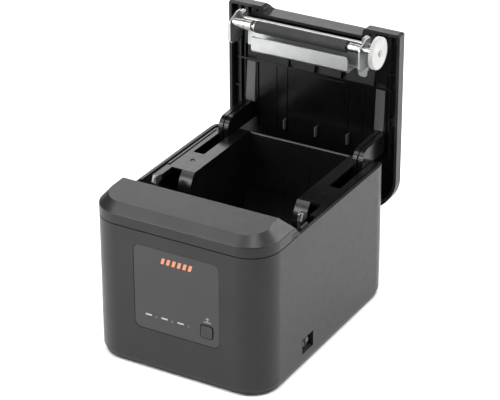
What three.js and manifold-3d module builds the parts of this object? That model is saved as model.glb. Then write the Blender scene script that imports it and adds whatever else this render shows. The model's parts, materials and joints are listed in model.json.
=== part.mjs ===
// Receipt printer with its paper lid open: a standalone three.js model in millimetres, +Z up.
// The front faces -Y. Every shape is drawn with the front wall at y = 0 and the underside of the
// base plate at z = 0; the lid is drawn shut and then swung open about its hinge.
import * as THREE from "three";
import Module from "manifold-3d";
import { mergeVertices } from "three/addons/utils/BufferGeometryUtils.js";

const wasm = await Module();
wasm.setup();

// ---- driving sizes -------------------------------------------------------------------------
const GAP = 0.3; // clearance between neighbouring pieces
const HALF_WIDTH = 70.5;
const DEPTH = 191;
const FRONT_RADIUS = 23;
const REAR_RADIUS = 25;
const WALL = 2.5;
const FOOT_DROP = 1.5; // how far the rubber feet stand below the base plate
const BASE_THICK = 2.2;
const RIM = 107.5; // top edge of the housing walls
const SEAM = RIM + 0.4; // underside of the cap and of the lid
const BEVEL_START = 115.5; // where the cap and lid walls turn into the soft bevel
const TOP = 125.3;
const BEVEL_INSET = 9;
const CAP_FOOT = 48.6; // depth of the cap at the seam
const CAP_CREST = 34; // depth of the cap's flat top
const LID_FRONT = CAP_FOOT + 0.7;
const HINGE = { y: 168.2, z: 80.2, pinRadius: 3 };
const LID_SKIN = 2.2;
const LID_SWING = 90; // degrees from shut to open
const BAY_HALF = 42; // half the width of the paper bay
const BAY_FRONT = 79;
const BAY_REAR = 177;
const DECK_TOP = 106;
const DECK_FRONT = 97.5;
const PLATEN = { x: [-35.2, 39.4], y: 56.3, z: 87.4, radius: 4.5, shaftRadius: 2.2 };
const GEAR_MODULE = 0.5;
const GEAR_FACE = [61.5, 65]; // X span of the paper feed gears
const PANEL = { x: 1.2, z: 64.4, width: 68, height: 65, thick: 2.2, radius: 5 };

// ---- materials -----------------------------------------------------------------------------
function finish(color, roughness, metalness = 0) {
  return new THREE.MeshStandardMaterial({ color, roughness, metalness });
}
const casing = finish(0x4a4a4d, 0.55);
const panelPlastic = finish(0x505053, 0.35);
const blackPlastic = finish(0x141415, 0.35);
const steel = finish(0xc6c9cc, 0.3, 1);
const castMetal = finish(0x8d9093, 0.5, 0.8);
const rubber = finish(0x3a3a3b, 0.85);
const whitePlastic = finish(0xe8e8e4, 0.5);
const lightPlastic = finish(0xd8dde2, 0.3);
const circuitBoard = finish(0x1f5b34, 0.6);
const ceramic = finish(0xd9d2c0, 0.4);

// ---- solids --------------------------------------------------------------------------------
function toSolid(geometry) {
  const bare = geometry.clone();
  bare.deleteAttribute("normal");
  bare.deleteAttribute("uv");
  const welded = mergeVertices(bare, 1e-4);
  const mesh = new wasm.Mesh({
    numProp: 3,
    vertProperties: new Float32Array(welded.attributes.position.array),
    triVerts: new Uint32Array(welded.index.array),
  });
  return new wasm.Manifold(mesh);
}

function toGeometry(solid) {
  const mesh = solid.getMesh();
  const geometry = new THREE.BufferGeometry();
  geometry.setAttribute("position", new THREE.BufferAttribute(mesh.vertProperties.slice(), 3));
  geometry.setIndex(new THREE.BufferAttribute(mesh.triVerts.slice(), 1));
  geometry.computeVertexNormals();
  solid.delete();
  return geometry;
}

// Boolean operations use up their operands, which keeps the library's memory small.
function combine(operation, [first, ...others]) {
  let result = first;
  for (const other of others) {
    const next = result[operation](other);
    result.delete();
    other.delete();
    result = next;
  }
  return result;
}

const union = (...solids) => combine("add", solids);
const cut = (...solids) => combine("subtract", solids);
const common = (...solids) => combine("intersect", solids);

function moved(solid, offset) {
  const result = solid.translate(offset);
  solid.delete();
  return result;
}

function box([x0, x1], [y0, y1], [z0, z1]) {
  const geometry = new THREE.BoxGeometry(x1 - x0, y1 - y0, z1 - z0);
  geometry.translate((x0 + x1) / 2, (y0 + y1) / 2, (z0 + z1) / 2);
  return toSolid(geometry);
}

function cylinderX([x0, x1], y, z, radius, sides = 20) {
  const geometry = new THREE.CylinderGeometry(radius, radius, x1 - x0, sides);
  geometry.rotateZ(Math.PI / 2);
  geometry.translate((x0 + x1) / 2, y, z);
  return toSolid(geometry);
}

function cylinderY(x, [y0, y1], z, radius, sides = 20) {
  const geometry = new THREE.CylinderGeometry(radius, radius, y1 - y0, sides);
  geometry.translate(x, (y0 + y1) / 2, z);
  return toSolid(geometry);
}

function cylinderZ(x, y, [z0, z1], radius, sides = 20) {
  const geometry = new THREE.CylinderGeometry(radius, radius, z1 - z0, sides);
  geometry.rotateX(Math.PI / 2);
  geometry.translate(x, y, (z0 + z1) / 2);
  return toSolid(geometry);
}

function extruded(shape, depth, arcSteps) {
  return new THREE.ExtrudeGeometry(shape, { depth, bevelEnabled: false, curveSegments: arcSteps });
}

// A plan outline raised along Z.
function plan(shape, [z0, z1], arcSteps = 6) {
  const geometry = extruded(shape, z1 - z0, arcSteps);
  geometry.translate(0, 0, z0);
  return toSolid(geometry);
}

// A side profile, drawn as (y, z), spread along X.
function profile(shape, [x0, x1], arcSteps = 6) {
  const geometry = extruded(shape, x1 - x0, arcSteps);
  const basis = new THREE.Matrix4().makeBasis(
    new THREE.Vector3(0, 1, 0),
    new THREE.Vector3(0, 0, 1),
    new THREE.Vector3(1, 0, 0),
  );
  geometry.applyMatrix4(basis);
  geometry.translate(x0, 0, 0);
  return toSolid(geometry);
}

// A front outline, drawn as (x, z), running from y0 back to y1.
function facing(shape, [y0, y1], arcSteps = 6) {
  const geometry = extruded(shape, y1 - y0, arcSteps);
  geometry.rotateX(Math.PI / 2);
  geometry.translate(0, y1, 0);
  return toSolid(geometry);
}

// ---- outlines ------------------------------------------------------------------------------
// Rectangle whose lower (first) and upper (second) corner pairs have their own radii.
function roundedRect([x0, x1], [y0, y1], lower, upper = lower) {
  const shape = new THREE.Shape();
  shape.moveTo(x0 + lower, y0);
  shape.lineTo(x1 - lower, y0);
  shape.absarc(x1 - lower, y0 + lower, lower, -Math.PI / 2, 0);
  shape.lineTo(x1, y1 - upper);
  shape.absarc(x1 - upper, y1 - upper, upper, 0, Math.PI / 2);
  shape.lineTo(x0 + upper, y1);
  shape.absarc(x0 + upper, y1 - upper, upper, Math.PI / 2, Math.PI);
  shape.lineTo(x0, y0 + lower);
  shape.absarc(x0 + lower, y0 + lower, lower, Math.PI, Math.PI * 1.5);
  return shape;
}

function polygon(points) {
  return new THREE.Shape(points.map(([a, b]) => new THREE.Vector2(a, b)));
}

// Plan outline of the printer, the same number of points for every inset.
function footprintPoints(inset, arcSteps = 8) {
  const side = HALF_WIDTH - FRONT_RADIUS;
  const rearSide = HALF_WIDTH - REAR_RADIUS;
  const corners = [
    { x: side, y: FRONT_RADIUS, radius: FRONT_RADIUS, turn: -0.5 },
    { x: rearSide, y: DEPTH - REAR_RADIUS, radius: REAR_RADIUS, turn: 0 },
    { x: -rearSide, y: DEPTH - REAR_RADIUS, radius: REAR_RADIUS, turn: 0.5 },
    { x: -side, y: FRONT_RADIUS, radius: FRONT_RADIUS, turn: 1 },
  ];
  return corners.flatMap(({ x, y, radius, turn }) => {
    const reach = radius - inset;
    return Array.from({ length: arcSteps + 1 }, (_, i) => {
      const angle = Math.PI * (turn + (0.5 * i) / arcSteps);
      return new THREE.Vector2(x + reach * Math.cos(angle), y + reach * Math.sin(angle));
    });
  });
}

const footprint = (inset) => new THREE.Shape(footprintPoints(inset));

// Closed solid through plan outlines stacked at rising heights.
function loft(levels) {
  const rings = levels.map(({ z, inset }) => {
    return footprintPoints(inset).map((point) => [point.x, point.y, z]);
  });
  const count = rings[0].length;
  const centre = DEPTH / 2;
  const first = levels[0].z;
  const last = levels[levels.length - 1].z;
  const positions = [...rings.flat(), [0, centre, first], [0, centre, last]];
  const bottom = rings.length * count;
  const triangles = [];
  for (let i = 0; i < count; i += 1) {
    const next = (i + 1) % count;
    triangles.push(bottom, next, i);
    for (let r = 0; r + 1 < rings.length; r += 1) {
      const low = r * count;
      const high = low + count;
      triangles.push(low + i, low + next, high + next, low + i, high + next, high + i);
    }
    const crown = (rings.length - 1) * count;
    triangles.push(crown + i, crown + next, bottom + 1);
  }
  const geometry = new THREE.BufferGeometry();
  const flat = new Float32Array(positions.flat());
  geometry.setAttribute("position", new THREE.BufferAttribute(flat, 3));
  geometry.setIndex(triangles);
  return toSolid(geometry);
}

// The domed top that the cap and the lid share, with a soft quarter-oval bevel.
function dome(bottom, skin) {
  const steps = 5;
  const start = THREE.MathUtils.degToRad(22);
  const levels = [{ z: bottom, inset: skin }];
  for (let i = 0; i <= steps; i += 1) {
    const angle = start + ((Math.PI / 2 - start) * i) / steps;
    const rise = (Math.sin(angle) - Math.sin(start)) / (1 - Math.sin(start));
    const run = 1 - Math.cos(angle) / Math.cos(start);
    const z = BEVEL_START + (TOP - skin - BEVEL_START) * rise;
    levels.push({ z, inset: skin + BEVEL_INSET * run });
  }
  return loft(levels);
}

// ---- gears ---------------------------------------------------------------------------------
function pitchRadius(teeth, module) {
  return (teeth * module) / 2;
}

// Spur gear outline about the origin; a tooth points along `phase`.
function gearOutline(teeth, module, phase = 0) {
  const pitch = pitchRadius(teeth, module);
  const tip = pitch + module * 0.9;
  const root = pitch - module * 1.15;
  const step = (2 * Math.PI) / teeth;
  const corners = [
    [root, -0.33],
    [tip, -0.12],
    [tip, 0.12],
    [root, 0.33],
  ];
  const points = [];
  for (let i = 0; i < teeth; i += 1) {
    for (const [radius, offset] of corners) {
      const angle = phase + (i + offset) * step;
      points.push(new THREE.Vector2(radius * Math.cos(angle), radius * Math.sin(angle)));
    }
  }
  return new THREE.Shape(points);
}

function gearAlongX(teeth, at, phase) {
  const wheel = profile(gearOutline(teeth, GEAR_MODULE, phase), GEAR_FACE);
  return moved(wheel, [0, at.y, at.z]);
}

// ---- assembly ------------------------------------------------------------------------------
const printer = new THREE.Group();
printer.position.set(0, 0, FOOT_DROP);
const lid = new THREE.Group();
lid.position.set(0, HINGE.y, HINGE.z);
lid.rotation.x = THREE.MathUtils.degToRad(-LID_SWING);
printer.add(lid);

function add(name, solid, material) {
  const mesh = new THREE.Mesh(toGeometry(solid), material);
  mesh.name = name;
  printer.add(mesh);
}

// Lid pieces are drawn shut, then carried by the lid group from the hinge axis.
function addToLid(name, solid, material) {
  const mesh = new THREE.Mesh(toGeometry(moved(solid, [0, -HINGE.y, -HINGE.z])), material);
  mesh.name = name;
  lid.add(mesh);
}

const SIDES = [
  ["left", -1],
  ["right", 1],
];
const mirrored = (span, side) => (side > 0 ? span : [-span[1], -span[0]]);

// ---- housing -------------------------------------------------------------------------------
const SWITCH = { y: [53.7, 69.9], z: [9.9, 21.8] };
const SOCKETS = [
  { name: "power_jack", x: [-50, -38], height: 11 },
  { name: "usb_port", x: [-27, -15], height: 10.5 },
  { name: "network_port", x: [-4, 12], height: 13 },
  { name: "drawer_port", x: [24, 38], height: 12 },
];
const BOARD = { x: [-52, 50], y: [84, 182], z: [6, 7.6] };
const SCREW_SPOTS = [
  [-58, 26],
  [58, 26],
  [-58, 166],
  [58, 166],
];

// Space that the shut-to-open lid sweeps behind the hinge, seen from the side.
function swingClearance(radius) {
  const behind = box([-80, 80], [HINGE.y, DEPTH + 5], [HINGE.z + 8, RIM + 5]);
  return cut(behind, cylinderX([-81, 81], HINGE.y, HINGE.z, radius, 64));
}

function lowerHousing() {
  const outside = plan(footprint(0), [BASE_THICK + GAP, RIM]);
  const inside = plan(footprint(WALL), [0, RIM + 5]);
  const shell = cut(outside, inside);
  const lips = SIDES.map(([, side]) => {
    const span = mirrored([HALF_WIDTH - WALL - 1.1, HALF_WIDTH - WALL + 0.1], side);
    return box(span, [LID_FRONT + 6, 65], [RIM - 4, RIM + 2.2]);
  });
  const posts = SCREW_SPOTS.map(([x, y]) => {
    const reach = x > 0 ? [x - 4, HALF_WIDTH - 1] : [1 - HALF_WIDTH, x + 4];
    return box(reach, [y - 4, y + 4], [BASE_THICK + GAP, 16]);
  });
  const pilots = SCREW_SPOTS.map(([x, y]) => cylinderZ(x, y, [0, 13], 1.4, 12));
  const half = PANEL.width / 2 + GAP;
  const rise = PANEL.height / 2 + GAP;
  const window = roundedRect(
    [PANEL.x - half, PANEL.x + half],
    [PANEL.z - rise, PANEL.z + rise],
    PANEL.radius + GAP,
  );
  const switchHole = box([60, 80], SWITCH.y, SWITCH.z);
  const socketHoles = SOCKETS.map(({ x, height }) => {
    const top = BOARD.z[1] + GAP + height;
    return box([x[0] - GAP, x[1] + GAP], [DEPTH - 9, DEPTH + 3], [BOARD.z[1], top + GAP]);
  });
  return cut(
    union(shell, ...lips, ...posts),
    ...pilots,
    facing(window, [-1, WALL + 2]),
    switchHole,
    ...socketHoles,
    swingClearance(SEAM - HINGE.z - 0.5),
  );
}

function basePlate() {
  const plate = plan(footprint(0.6), [0, BASE_THICK]);
  const pockets = FOOT_SPOTS.map(([x, y]) => cylinderZ(x, y, [-1, 1], 6.6, 16));
  const screwHoles = SCREW_SPOTS.map(([x, y]) => cylinderZ(x, y, [-1, 3], 1.9, 12));
  return cut(plate, ...pockets, ...screwHoles);
}

const FOOT_SPOTS = [
  [-50, 16],
  [50, 16],
  [-50, 176],
  [50, 176],
];

function baseScrew([x, y]) {
  const head = cylinderZ(x, y, [-1.2, -0.2], 3, 12);
  const shank = cylinderZ(x, y, [-0.3, 10], 1.1, 10);
  return union(head, shank);
}

// ---- front cap -----------------------------------------------------------------------------
function capRegion(shift) {
  const region = polygon([
    [-1, SEAM - 10],
    [CAP_FOOT - shift, SEAM - 10],
    [CAP_FOOT - shift, SEAM + 1],
    [CAP_CREST - shift, TOP - 0.2],
    [CAP_CREST - shift, TOP + 5],
    [-1, TOP + 5],
  ]);
  return profile(region, [-80, 80]);
}

function frontCap() {
  const outside = common(dome(SEAM, 0), capRegion(0));
  const inside = common(dome(SEAM - 5, WALL), capRegion(WALL));
  const slits = SIDES.flatMap(([, side]) =>
    [109.2, 111.6].map((z) => {
      const span = mirrored([HALF_WIDTH - 0.7, HALF_WIDTH + 2], side);
      return box(span, [37.7, CAP_FOOT + 2], [z - 0.3, z + 0.3]);
    }),
  );
  return cut(outside, inside, ...slits);
}

function tearBar() {
  const half = 38;
  const points = [
    [half, 102.5],
    [half, 108.6],
  ];
  for (let x = half - 1; x > -half; x -= 2) {
    points.push([x, 109.8], [x - 1, 108.6]);
  }
  points.push([-half, 102.5]);
  return facing(polygon(points.reverse()), [CAP_FOOT + 0.35, CAP_FOOT + 1.15]);
}

// ---- front panel ---------------------------------------------------------------------------
const BUTTON = { x: 25.2, z: 42.8, half: 4.6, radius: 1.6 };
const LIGHTS = [
  ["power_light", -21.6],
  ["paper_light", -8.7],
  ["error_light", 4.2],
];
const LIGHT = { z: 43.4, half: 2.6, rise: 0.7 };

function frontPanel() {
  const half = PANEL.width / 2;
  const rise = PANEL.height / 2;
  const xSpan = [PANEL.x - half, PANEL.x + half];
  const face = roundedRect(xSpan, [PANEL.z - rise, PANEL.z + rise], PANEL.radius);
  const opening = BUTTON.half + GAP;
  const buttonHole = roundedRect(
    [BUTTON.x - opening, BUTTON.x + opening],
    [BUTTON.z - opening, BUTTON.z + opening],
    BUTTON.radius + GAP,
  );
  const lightHoles = LIGHTS.map(([, x]) =>
    box(
      [x - LIGHT.half - GAP, x + LIGHT.half + GAP],
      [-1, 5],
      [LIGHT.z - LIGHT.rise - GAP, LIGHT.z + LIGHT.rise + GAP],
    ),
  );
  return cut(facing(face, [0.25, PANEL.thick]), facing(buttonHole, [-1, 5]), ...lightHoles);
}

function feedButton() {
  const { x, z, half, radius } = BUTTON;
  const key = facing(roundedRect([x - half, x + half], [z - half, z + half], radius), [-0.3, 3.4]);
  const stem = cylinderY(x, [3, 5.4], z, 1.6, 16);
  return union(key, stem);
}

function statusLight(x) {
  const xSpan = [x - LIGHT.half, x + LIGHT.half];
  return box(xSpan, [0.15, 6], [LIGHT.z - LIGHT.rise, LIGHT.z + LIGHT.rise]);
}

function tactSwitch() {
  return box([BUTTON.x - 3, BUTTON.x + 3], [6.9, 8.1], [BUTTON.z - 3, BUTTON.z + 3]);
}

function panelBoard() {
  return union(box([-28, 33], [8, 9.6], [36, 92]), tactSwitch());
}

// ---- inner frame with the paper bay --------------------------------------------------------
const SLOT = { x: [51.5, 60.7], y: [126, 179] };
const BAY_WALL = 2;
const ROLL = { y: 128, z: 68, radius: 44 }; // the curved floor follows an 80 mm paper roll

function baySection(grow) {
  const shape = new THREE.Shape();
  const front = BAY_FRONT + BAY_WALL - grow;
  const rear = BAY_REAR + grow;
  const radius = ROLL.radius + grow;
  const reach = Math.min(radius - 0.01, rear - ROLL.y);
  const ahead = Math.min(radius - 0.01, ROLL.y - front);
  const rearAngle = -Math.acos(reach / radius);
  const frontAngle = -Math.PI + Math.acos(ahead / radius);
  shape.moveTo(front, DECK_TOP + 20);
  shape.lineTo(front, ROLL.z + radius * Math.sin(frontAngle));
  shape.absarc(ROLL.y, ROLL.z, radius, frontAngle, rearAngle);
  shape.lineTo(rear, DECK_TOP + 20);
  return shape;
}

function innerFrame() {
  const outerHalf = BAY_HALF + BAY_WALL;
  const trough = profile(baySection(BAY_WALL), [-outerHalf, outerHalf], 20);
  const hollow = profile(baySection(0), [-BAY_HALF, BAY_HALF], 20);
  const rearWall = box([-outerHalf, outerHalf], [BAY_REAR, 187.6], [60, DECK_TOP - 0.5]);
  const rearPocket = box([-BAY_HALF, BAY_HALF], [BAY_REAR + BAY_WALL, 185.6], [50, 96]);
  const aboveFront = box([-60, 60], [BAY_FRONT - 5, BAY_FRONT + 12], [84, 130]);
  const above = box([-60, 60], [BAY_FRONT - 5, DEPTH], [DECK_TOP - 0.5, 130]);
  const tub = cut(union(trough, rearWall), hollow, rearPocket, aboveFront, above);
  const decks = SIDES.map(([, side]) => sideDeck(side));
  return cut(union(tub, ...decks), swingClearance(SEAM - HINGE.z - 0.8));
}

function sideDeck(side) {
  const span = (range) => mirrored(range, side);
  const top = [DECK_TOP - BAY_WALL, DECK_TOP];
  const deck = box(span([BAY_HALF, 66.4]), [DECK_FRONT, 180], top);
  const slot = box(span(SLOT.x), [SLOT.y[0], SLOT.y[1] + 5], [90, 115]);
  const rearBridge = box(span([BAY_HALF, 50.8]), [170, 187.6], [90, DECK_TOP - 0.5]);
  const frontFace = box(span([BAY_HALF, 58.5]), [DECK_FRONT, DECK_FRONT + 2], [92, DECK_TOP]);
  const ledge = box(span([61.2, 66.4]), [80, DECK_FRONT + 1], [102, DECK_TOP]);
  const innerLug = box(span([BAY_HALF + 1, 50.8]), [162, 174.5], [72, DECK_TOP - 1]);
  const outerLug = box(span([61.4, 66.4]), [162, 174.5], [72, DECK_TOP - 1]);
  const pinHole = cylinderX(span([46, 70]), HINGE.y, HINGE.z, HINGE.pinRadius + GAP);
  const dimple = cylinderZ(side * 54, 114.5, [DECK_TOP - 0.6, DECK_TOP + 1], 2.2, 16);
  const wing = union(deck, rearBridge, frontFace, ledge, innerLug, outerLug);
  const keepInside = plan(footprint(WALL + 0.6), [60, 120]);
  return common(cut(wing, slot, pinHole, dimple), keepInside);
}

function hingePin(side) {
  return cylinderX(mirrored([46.5, 66.2], side), HINGE.y, HINGE.z, HINGE.pinRadius);
}

// ---- print mechanism -----------------------------------------------------------------------
const PLATE_INNER = 45.5; // inner faces of the mechanism's side plates
const SHEET = 1.2;
const HEAD_PIVOT = { y: PLATEN.y - 10.4, z: 70 };
const LATCH = { y: 70.5, z: 70 };
const IDLER = { y: PLATEN.y - 5.1, z: PLATEN.z - 20.05, teeth: 36 };
const PINION = { y: IDLER.y - 3.9, z: IDLER.z - 11.45, teeth: 12 };
const PLATEN_TEETH = 46;

function mechanismFrame() {
  const outer = PLATE_INNER + SHEET;
  const shape = polygon([
    [28, 6],
    [76.5, 6],
    [76.5, 80],
    [72, 95],
    [28, 95],
  ]);
  const block = profile(shape, [-outer, outer]);
  const inside = box([-PLATE_INNER, PLATE_INNER], [28 + SHEET, 90], [6 + SHEET, 110]);
  const notch = union(
    box([-60, 60], [PLATEN.y - 4.1, PLATEN.y + 4.1], [PLATEN.z, 110]),
    cylinderX([-60, 60], PLATEN.y, PLATEN.z, 4.1, 20),
  );
  const headPin = cylinderX([-60, 60], HEAD_PIVOT.y, HEAD_PIVOT.z, 1.8, 16);
  const latchHole = cylinderX([-60, 60], LATCH.y, LATCH.z, 2.4, 16);
  const idlerHole = cylinderX([30, 60], IDLER.y, IDLER.z, 1.8, 16);
  return cut(block, inside, notch, headPin, latchHole, idlerHole);
}

function headPivotPin() {
  return cylinderX([-48.5, 48.5], HEAD_PIVOT.y, HEAD_PIVOT.z, 1.5, 16);
}

// Aluminium carrier behind the heating element, hooked round the pivot pin.
function heatSink() {
  const { y, z } = HEAD_PIVOT;
  const plate = box([-41, 41], [y - 3.4, y + 2.4], [z - 3.6, 94]);
  const fins = [];
  for (let level = 76; level < 93; level += 4) {
    fins.push(box([-42, 42], [y - 4, y - 1.6], [level, level + 1.6]));
  }
  const bore = cylinderX([-50, 50], y, z, 1.5 + GAP, 16);
  return cut(plate, bore, ...fins);
}

function printHead() {
  const face = PLATEN.y - PLATEN.radius - GAP - 0.2;
  const backing = box([-41, 41], [HEAD_PIVOT.y + 2.7, face - 1.1], [75, 93]);
  const heaterLine = box([-40.5, 40.5], [face - 1.5, face], [86, 89]);
  return union(backing, heaterLine);
}

// Compression spring along Y, as a swept round wire.
function headSpring(x) {
  const radius = 2.6;
  const turns = 4;
  const [start, end] = [28 + SHEET + 0.5, HEAD_PIVOT.y - 3.4 - 1.6];
  const z = 86;
  const points = [];
  const steps = turns * 8;
  for (let i = 0; i <= steps; i += 1) {
    const angle = (i / 8) * 2 * Math.PI;
    const y = start + ((end - start) * i) / steps;
    points.push(new THREE.Vector3(x + radius * Math.cos(angle), y, z + radius * Math.sin(angle)));
  }
  const wire = new THREE.Shape().absarc(0, 0, 0.45, 0, 2 * Math.PI);
  const path = new THREE.CatmullRomCurve3(points);
  const options = { steps, bevelEnabled: false, extrudePath: path, curveSegments: 3 };
  return toSolid(new THREE.ExtrudeGeometry(wire, options));
}

function driveMotor() {
  const { y, z } = PINION;
  const can = cylinderX([PLATE_INNER + SHEET + GAP, 59.6], y, z, 9.8, 32);
  const ears = box([PLATE_INNER + SHEET + GAP, 48.4], [y - 3, y + 3], [z - 13.5, z]);
  return union(can, ears);
}

function idlerPin() {
  return cylinderX([PLATE_INNER - 1, GEAR_FACE[1] + 1], IDLER.y, IDLER.z, 1.5, 16);
}

// The idler's teeth are phased so that a gap of each wheel faces the other's tooth.
function direction(from, to) {
  return Math.atan2(to.z - from.z, to.y - from.y);
}

function platenGearPhase() {
  return direction(PLATEN, IDLER);
}

function idlerPhase() {
  return direction(IDLER, PLATEN) + Math.PI / IDLER.teeth;
}

function pinionPhase() {
  const toIdler = direction(PINION, IDLER);
  const toPinion = direction(IDLER, PINION);
  const step = (2 * Math.PI) / IDLER.teeth;
  const turned = (toPinion - idlerPhase()) / step;
  const offset = turned - Math.round(turned);
  return toIdler + (offset * step * IDLER.teeth) / PINION.teeth + Math.PI / PINION.teeth;
}

function idlerGear() {
  const wheel = gearAlongX(IDLER.teeth, IDLER, idlerPhase());
  return cut(wheel, cylinderX([60, 70], IDLER.y, IDLER.z, 1.5 + GAP, 16));
}

function motorPinion() {
  const wheel = gearAlongX(PINION.teeth, PINION, pinionPhase());
  return union(wheel, cylinderX([59.9, GEAR_FACE[1] + 1], PINION.y, PINION.z, 1, 12));
}

// ---- cutter --------------------------------------------------------------------------------
const BLADE = { x: [-34, 42], y: [14.6, 47.6], z: [99.5, 100.5] };
const CUTTER = { module: 0.8, teeth: 16 };
const cutterRadius = pitchRadius(CUTTER.teeth, CUTTER.module);
const CUTTER_PINION = { x: BLADE.x[0] - cutterRadius - 0.15, y: 21.6 };

function cutterFrame() {
  const deck = box([-56, 47], [13, 47], [101, 102.2]);
  const frontWall = box([-56, 47], [13, 14.2], [90, 102]);
  const cheeks = [
    [-56, -54.8],
    [45.8, 47],
  ].map((span) => box(span, [13, 27.4], [90, 102]));
  const shaftHole = cylinderZ(CUTTER_PINION.x, CUTTER_PINION.y, [95, 110], 1.4, 16);
  return cut(union(deck, frontWall, ...cheeks), shaftHole);
}

function movingBlade() {
  const [x0, x1] = BLADE.x;
  const [y0, y1] = BLADE.y;
  const rackBase = x0 + CUTTER.module * 1.15;
  const vee = new THREE.Shape();
  vee.moveTo(rackBase, y0);
  vee.lineTo(x1, y0);
  vee.lineTo(x1, y1);
  vee.lineTo((x0 + x1) / 2, y1 - 2.4);
  vee.lineTo(rackBase, y1);
  const plate = plan(vee, BLADE.z);
  const pitch = Math.PI * CUTTER.module;
  const tip = x0 - CUTTER.module * 0.9;
  const teeth = [];
  for (let i = -3; i <= 1; i += 1) {
    const y = CUTTER_PINION.y + (i + 0.5) * pitch;
    const tooth = polygon([
      [rackBase + 0.1, y - 0.33 * pitch],
      [rackBase + 0.1, y + 0.33 * pitch],
      [tip, y + 0.12 * pitch],
      [tip, y - 0.12 * pitch],
    ]);
    teeth.push(plan(tooth, BLADE.z));
  }
  return union(plate, ...teeth);
}

function cutterPinion() {
  const { x, y } = CUTTER_PINION;
  const wheel = moved(plan(gearOutline(CUTTER.teeth, CUTTER.module), BLADE.z), [x, y, 0]);
  return union(wheel, cylinderZ(x, y, [96.2, 103], 1, 12));
}

function cutterMotor() {
  const { x, y } = CUTTER_PINION;
  return cylinderZ(x, y, [78, 95.9], 6, 20);
}

// ---- latch ---------------------------------------------------------------------------------
// A plate standing on the latch shaft, with a wider wedge at the top that holds the lid down.
function latchHook(side) {
  const { y, z } = LATCH;
  const hook = polygon([
    [y - 4, z - 4],
    [y + 4, z - 4],
    [y + 4, z + 6],
    [y + 2.4, z + 34],
    [y + 6.6, z + 36],
    [y + 6.6, z + 39.5],
    [y - 1, z + 41],
    [y - 3, z + 6],
  ]);
  const wedge = polygon([
    [y - 1.5, z + 35.5],
    [y + 6.4, z + 35.5],
    [y + 6.4, z + 40],
    [y + 1, z + 41],
  ]);
  const plate = profile(hook, mirrored([57.6, 59], side));
  const head = profile(wedge, mirrored([57.3, 61], side));
  return cut(union(plate, head), cylinderX([-70, 70], y, z, 2 + GAP, 16));
}

function latchShaft() {
  const { y, z } = LATCH;
  const rod = cylinderX([-61, 61], y, z, 2, 16);
  const collars = SIDES.map(([, side]) => cylinderX(mirrored([59.3, 60.6], side), y, z, 3.2, 16));
  return union(rod, ...collars);
}

// ---- electronics ---------------------------------------------------------------------------
function mainBoard() {
  return box(BOARD.x, BOARD.y, BOARD.z);
}

function socket({ x: [x0, x1], height }) {
  const wall = 1.4;
  const bottom = BOARD.z[1] + GAP;
  const top = bottom + height;
  const block = box([x0, x1], [DEPTH - 17, DEPTH - 0.4], [bottom, top]);
  const mouth = box([x0 + wall, x1 - wall], [DEPTH - 10, DEPTH + 1], [bottom + wall, top - wall]);
  return cut(block, mouth);
}

function paperSensor() {
  return box([14, 22], [BAY_FRONT - 5.5, BAY_FRONT - 0.4], [60, 72]);
}

// ---- power switch --------------------------------------------------------------------------
const ROCKER = { x: 66.6, tilt: 7 };
const ROCKER_MIDDLE = { y: (SWITCH.y[0] + SWITCH.y[1]) / 2, z: (SWITCH.z[0] + SWITCH.z[1]) / 2 };

function powerSwitchBody() {
  const [y0, y1] = SWITCH.y;
  const [z0, z1] = SWITCH.z;
  const block = box([55, HALF_WIDTH], [y0 + GAP, y1 - GAP], [z0 + GAP, z1 - GAP]);
  const well = box([60, 80], [y0 + 1.5, y1 - 1.5], [z0 + 1.5, z1 - 1.5]);
  return cut(block, well);
}

function powerRocker() {
  const { y, z } = ROCKER_MIDDLE;
  const halfLength = 6.1;
  const halfHeight = 4.1;
  const wedge = polygon([
    [0, -halfLength],
    [2.1, -halfLength],
    [1.1, 0],
    [2.1, halfLength],
    [0, halfLength],
  ]);
  const face = plan(wedge, [-halfHeight, halfHeight]);
  const hub = cylinderZ(0, 0, [-halfHeight, halfHeight], 2, 16);
  const tilted = union(face, hub).rotate([0, 0, ROCKER.tilt]);
  return moved(tilted, [ROCKER.x, y, z]);
}

// ---- lid -----------------------------------------------------------------------------------
const RECESS = { half: 40.5, depth: 6 };
const LINER = { z: [113.3, 115.1] };

function lidPlan(inset, [z0, z1]) {
  const half = HALF_WIDTH - inset;
  const front = LID_FRONT + inset;
  const shape = roundedRect([-half, half], [front, DEPTH - inset], 3, REAR_RADIUS - inset);
  const recessEnd = LID_FRONT + RECESS.depth + inset;
  const recessHalf = RECESS.half + inset;
  const recess = roundedRect([-recessHalf, recessHalf], [LID_FRONT - 20, recessEnd], 2);
  return cut(plan(shape, [z0, z1], 8), plan(recess, [z0 - 1, z1 + 1]));
}

function lidFrontBevel(shift) {
  const region = polygon([
    [LID_FRONT - 5, 80],
    [DEPTH + 5, 80],
    [DEPTH + 5, TOP + 5],
    [LID_FRONT + 9 + shift, TOP + 5],
    [LID_FRONT + 9 + shift, TOP],
    [LID_FRONT + shift, BEVEL_START],
    [LID_FRONT - 5, BEVEL_START - 5],
  ]);
  return profile(region, [-80, 80]);
}

function lidShell() {
  const skirtDrop = 3.4;
  const bottom = SEAM - skirtDrop;
  const outside = common(dome(bottom, 0), lidPlan(0, [80, 140]), lidFrontBevel(0));
  const inside = common(
    dome(bottom - 5, LID_SKIN),
    lidPlan(LID_SKIN, [80, 140]),
    lidFrontBevel(LID_SKIN),
  );
  const underRim = box([-80, 80], [0, HINGE.y], [60, SEAM]);
  const arc = cylinderX([-81, 81], HINGE.y, HINGE.z, SEAM - HINGE.z, 64);
  return cut(outside, inside, underRim, arc);
}

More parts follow.
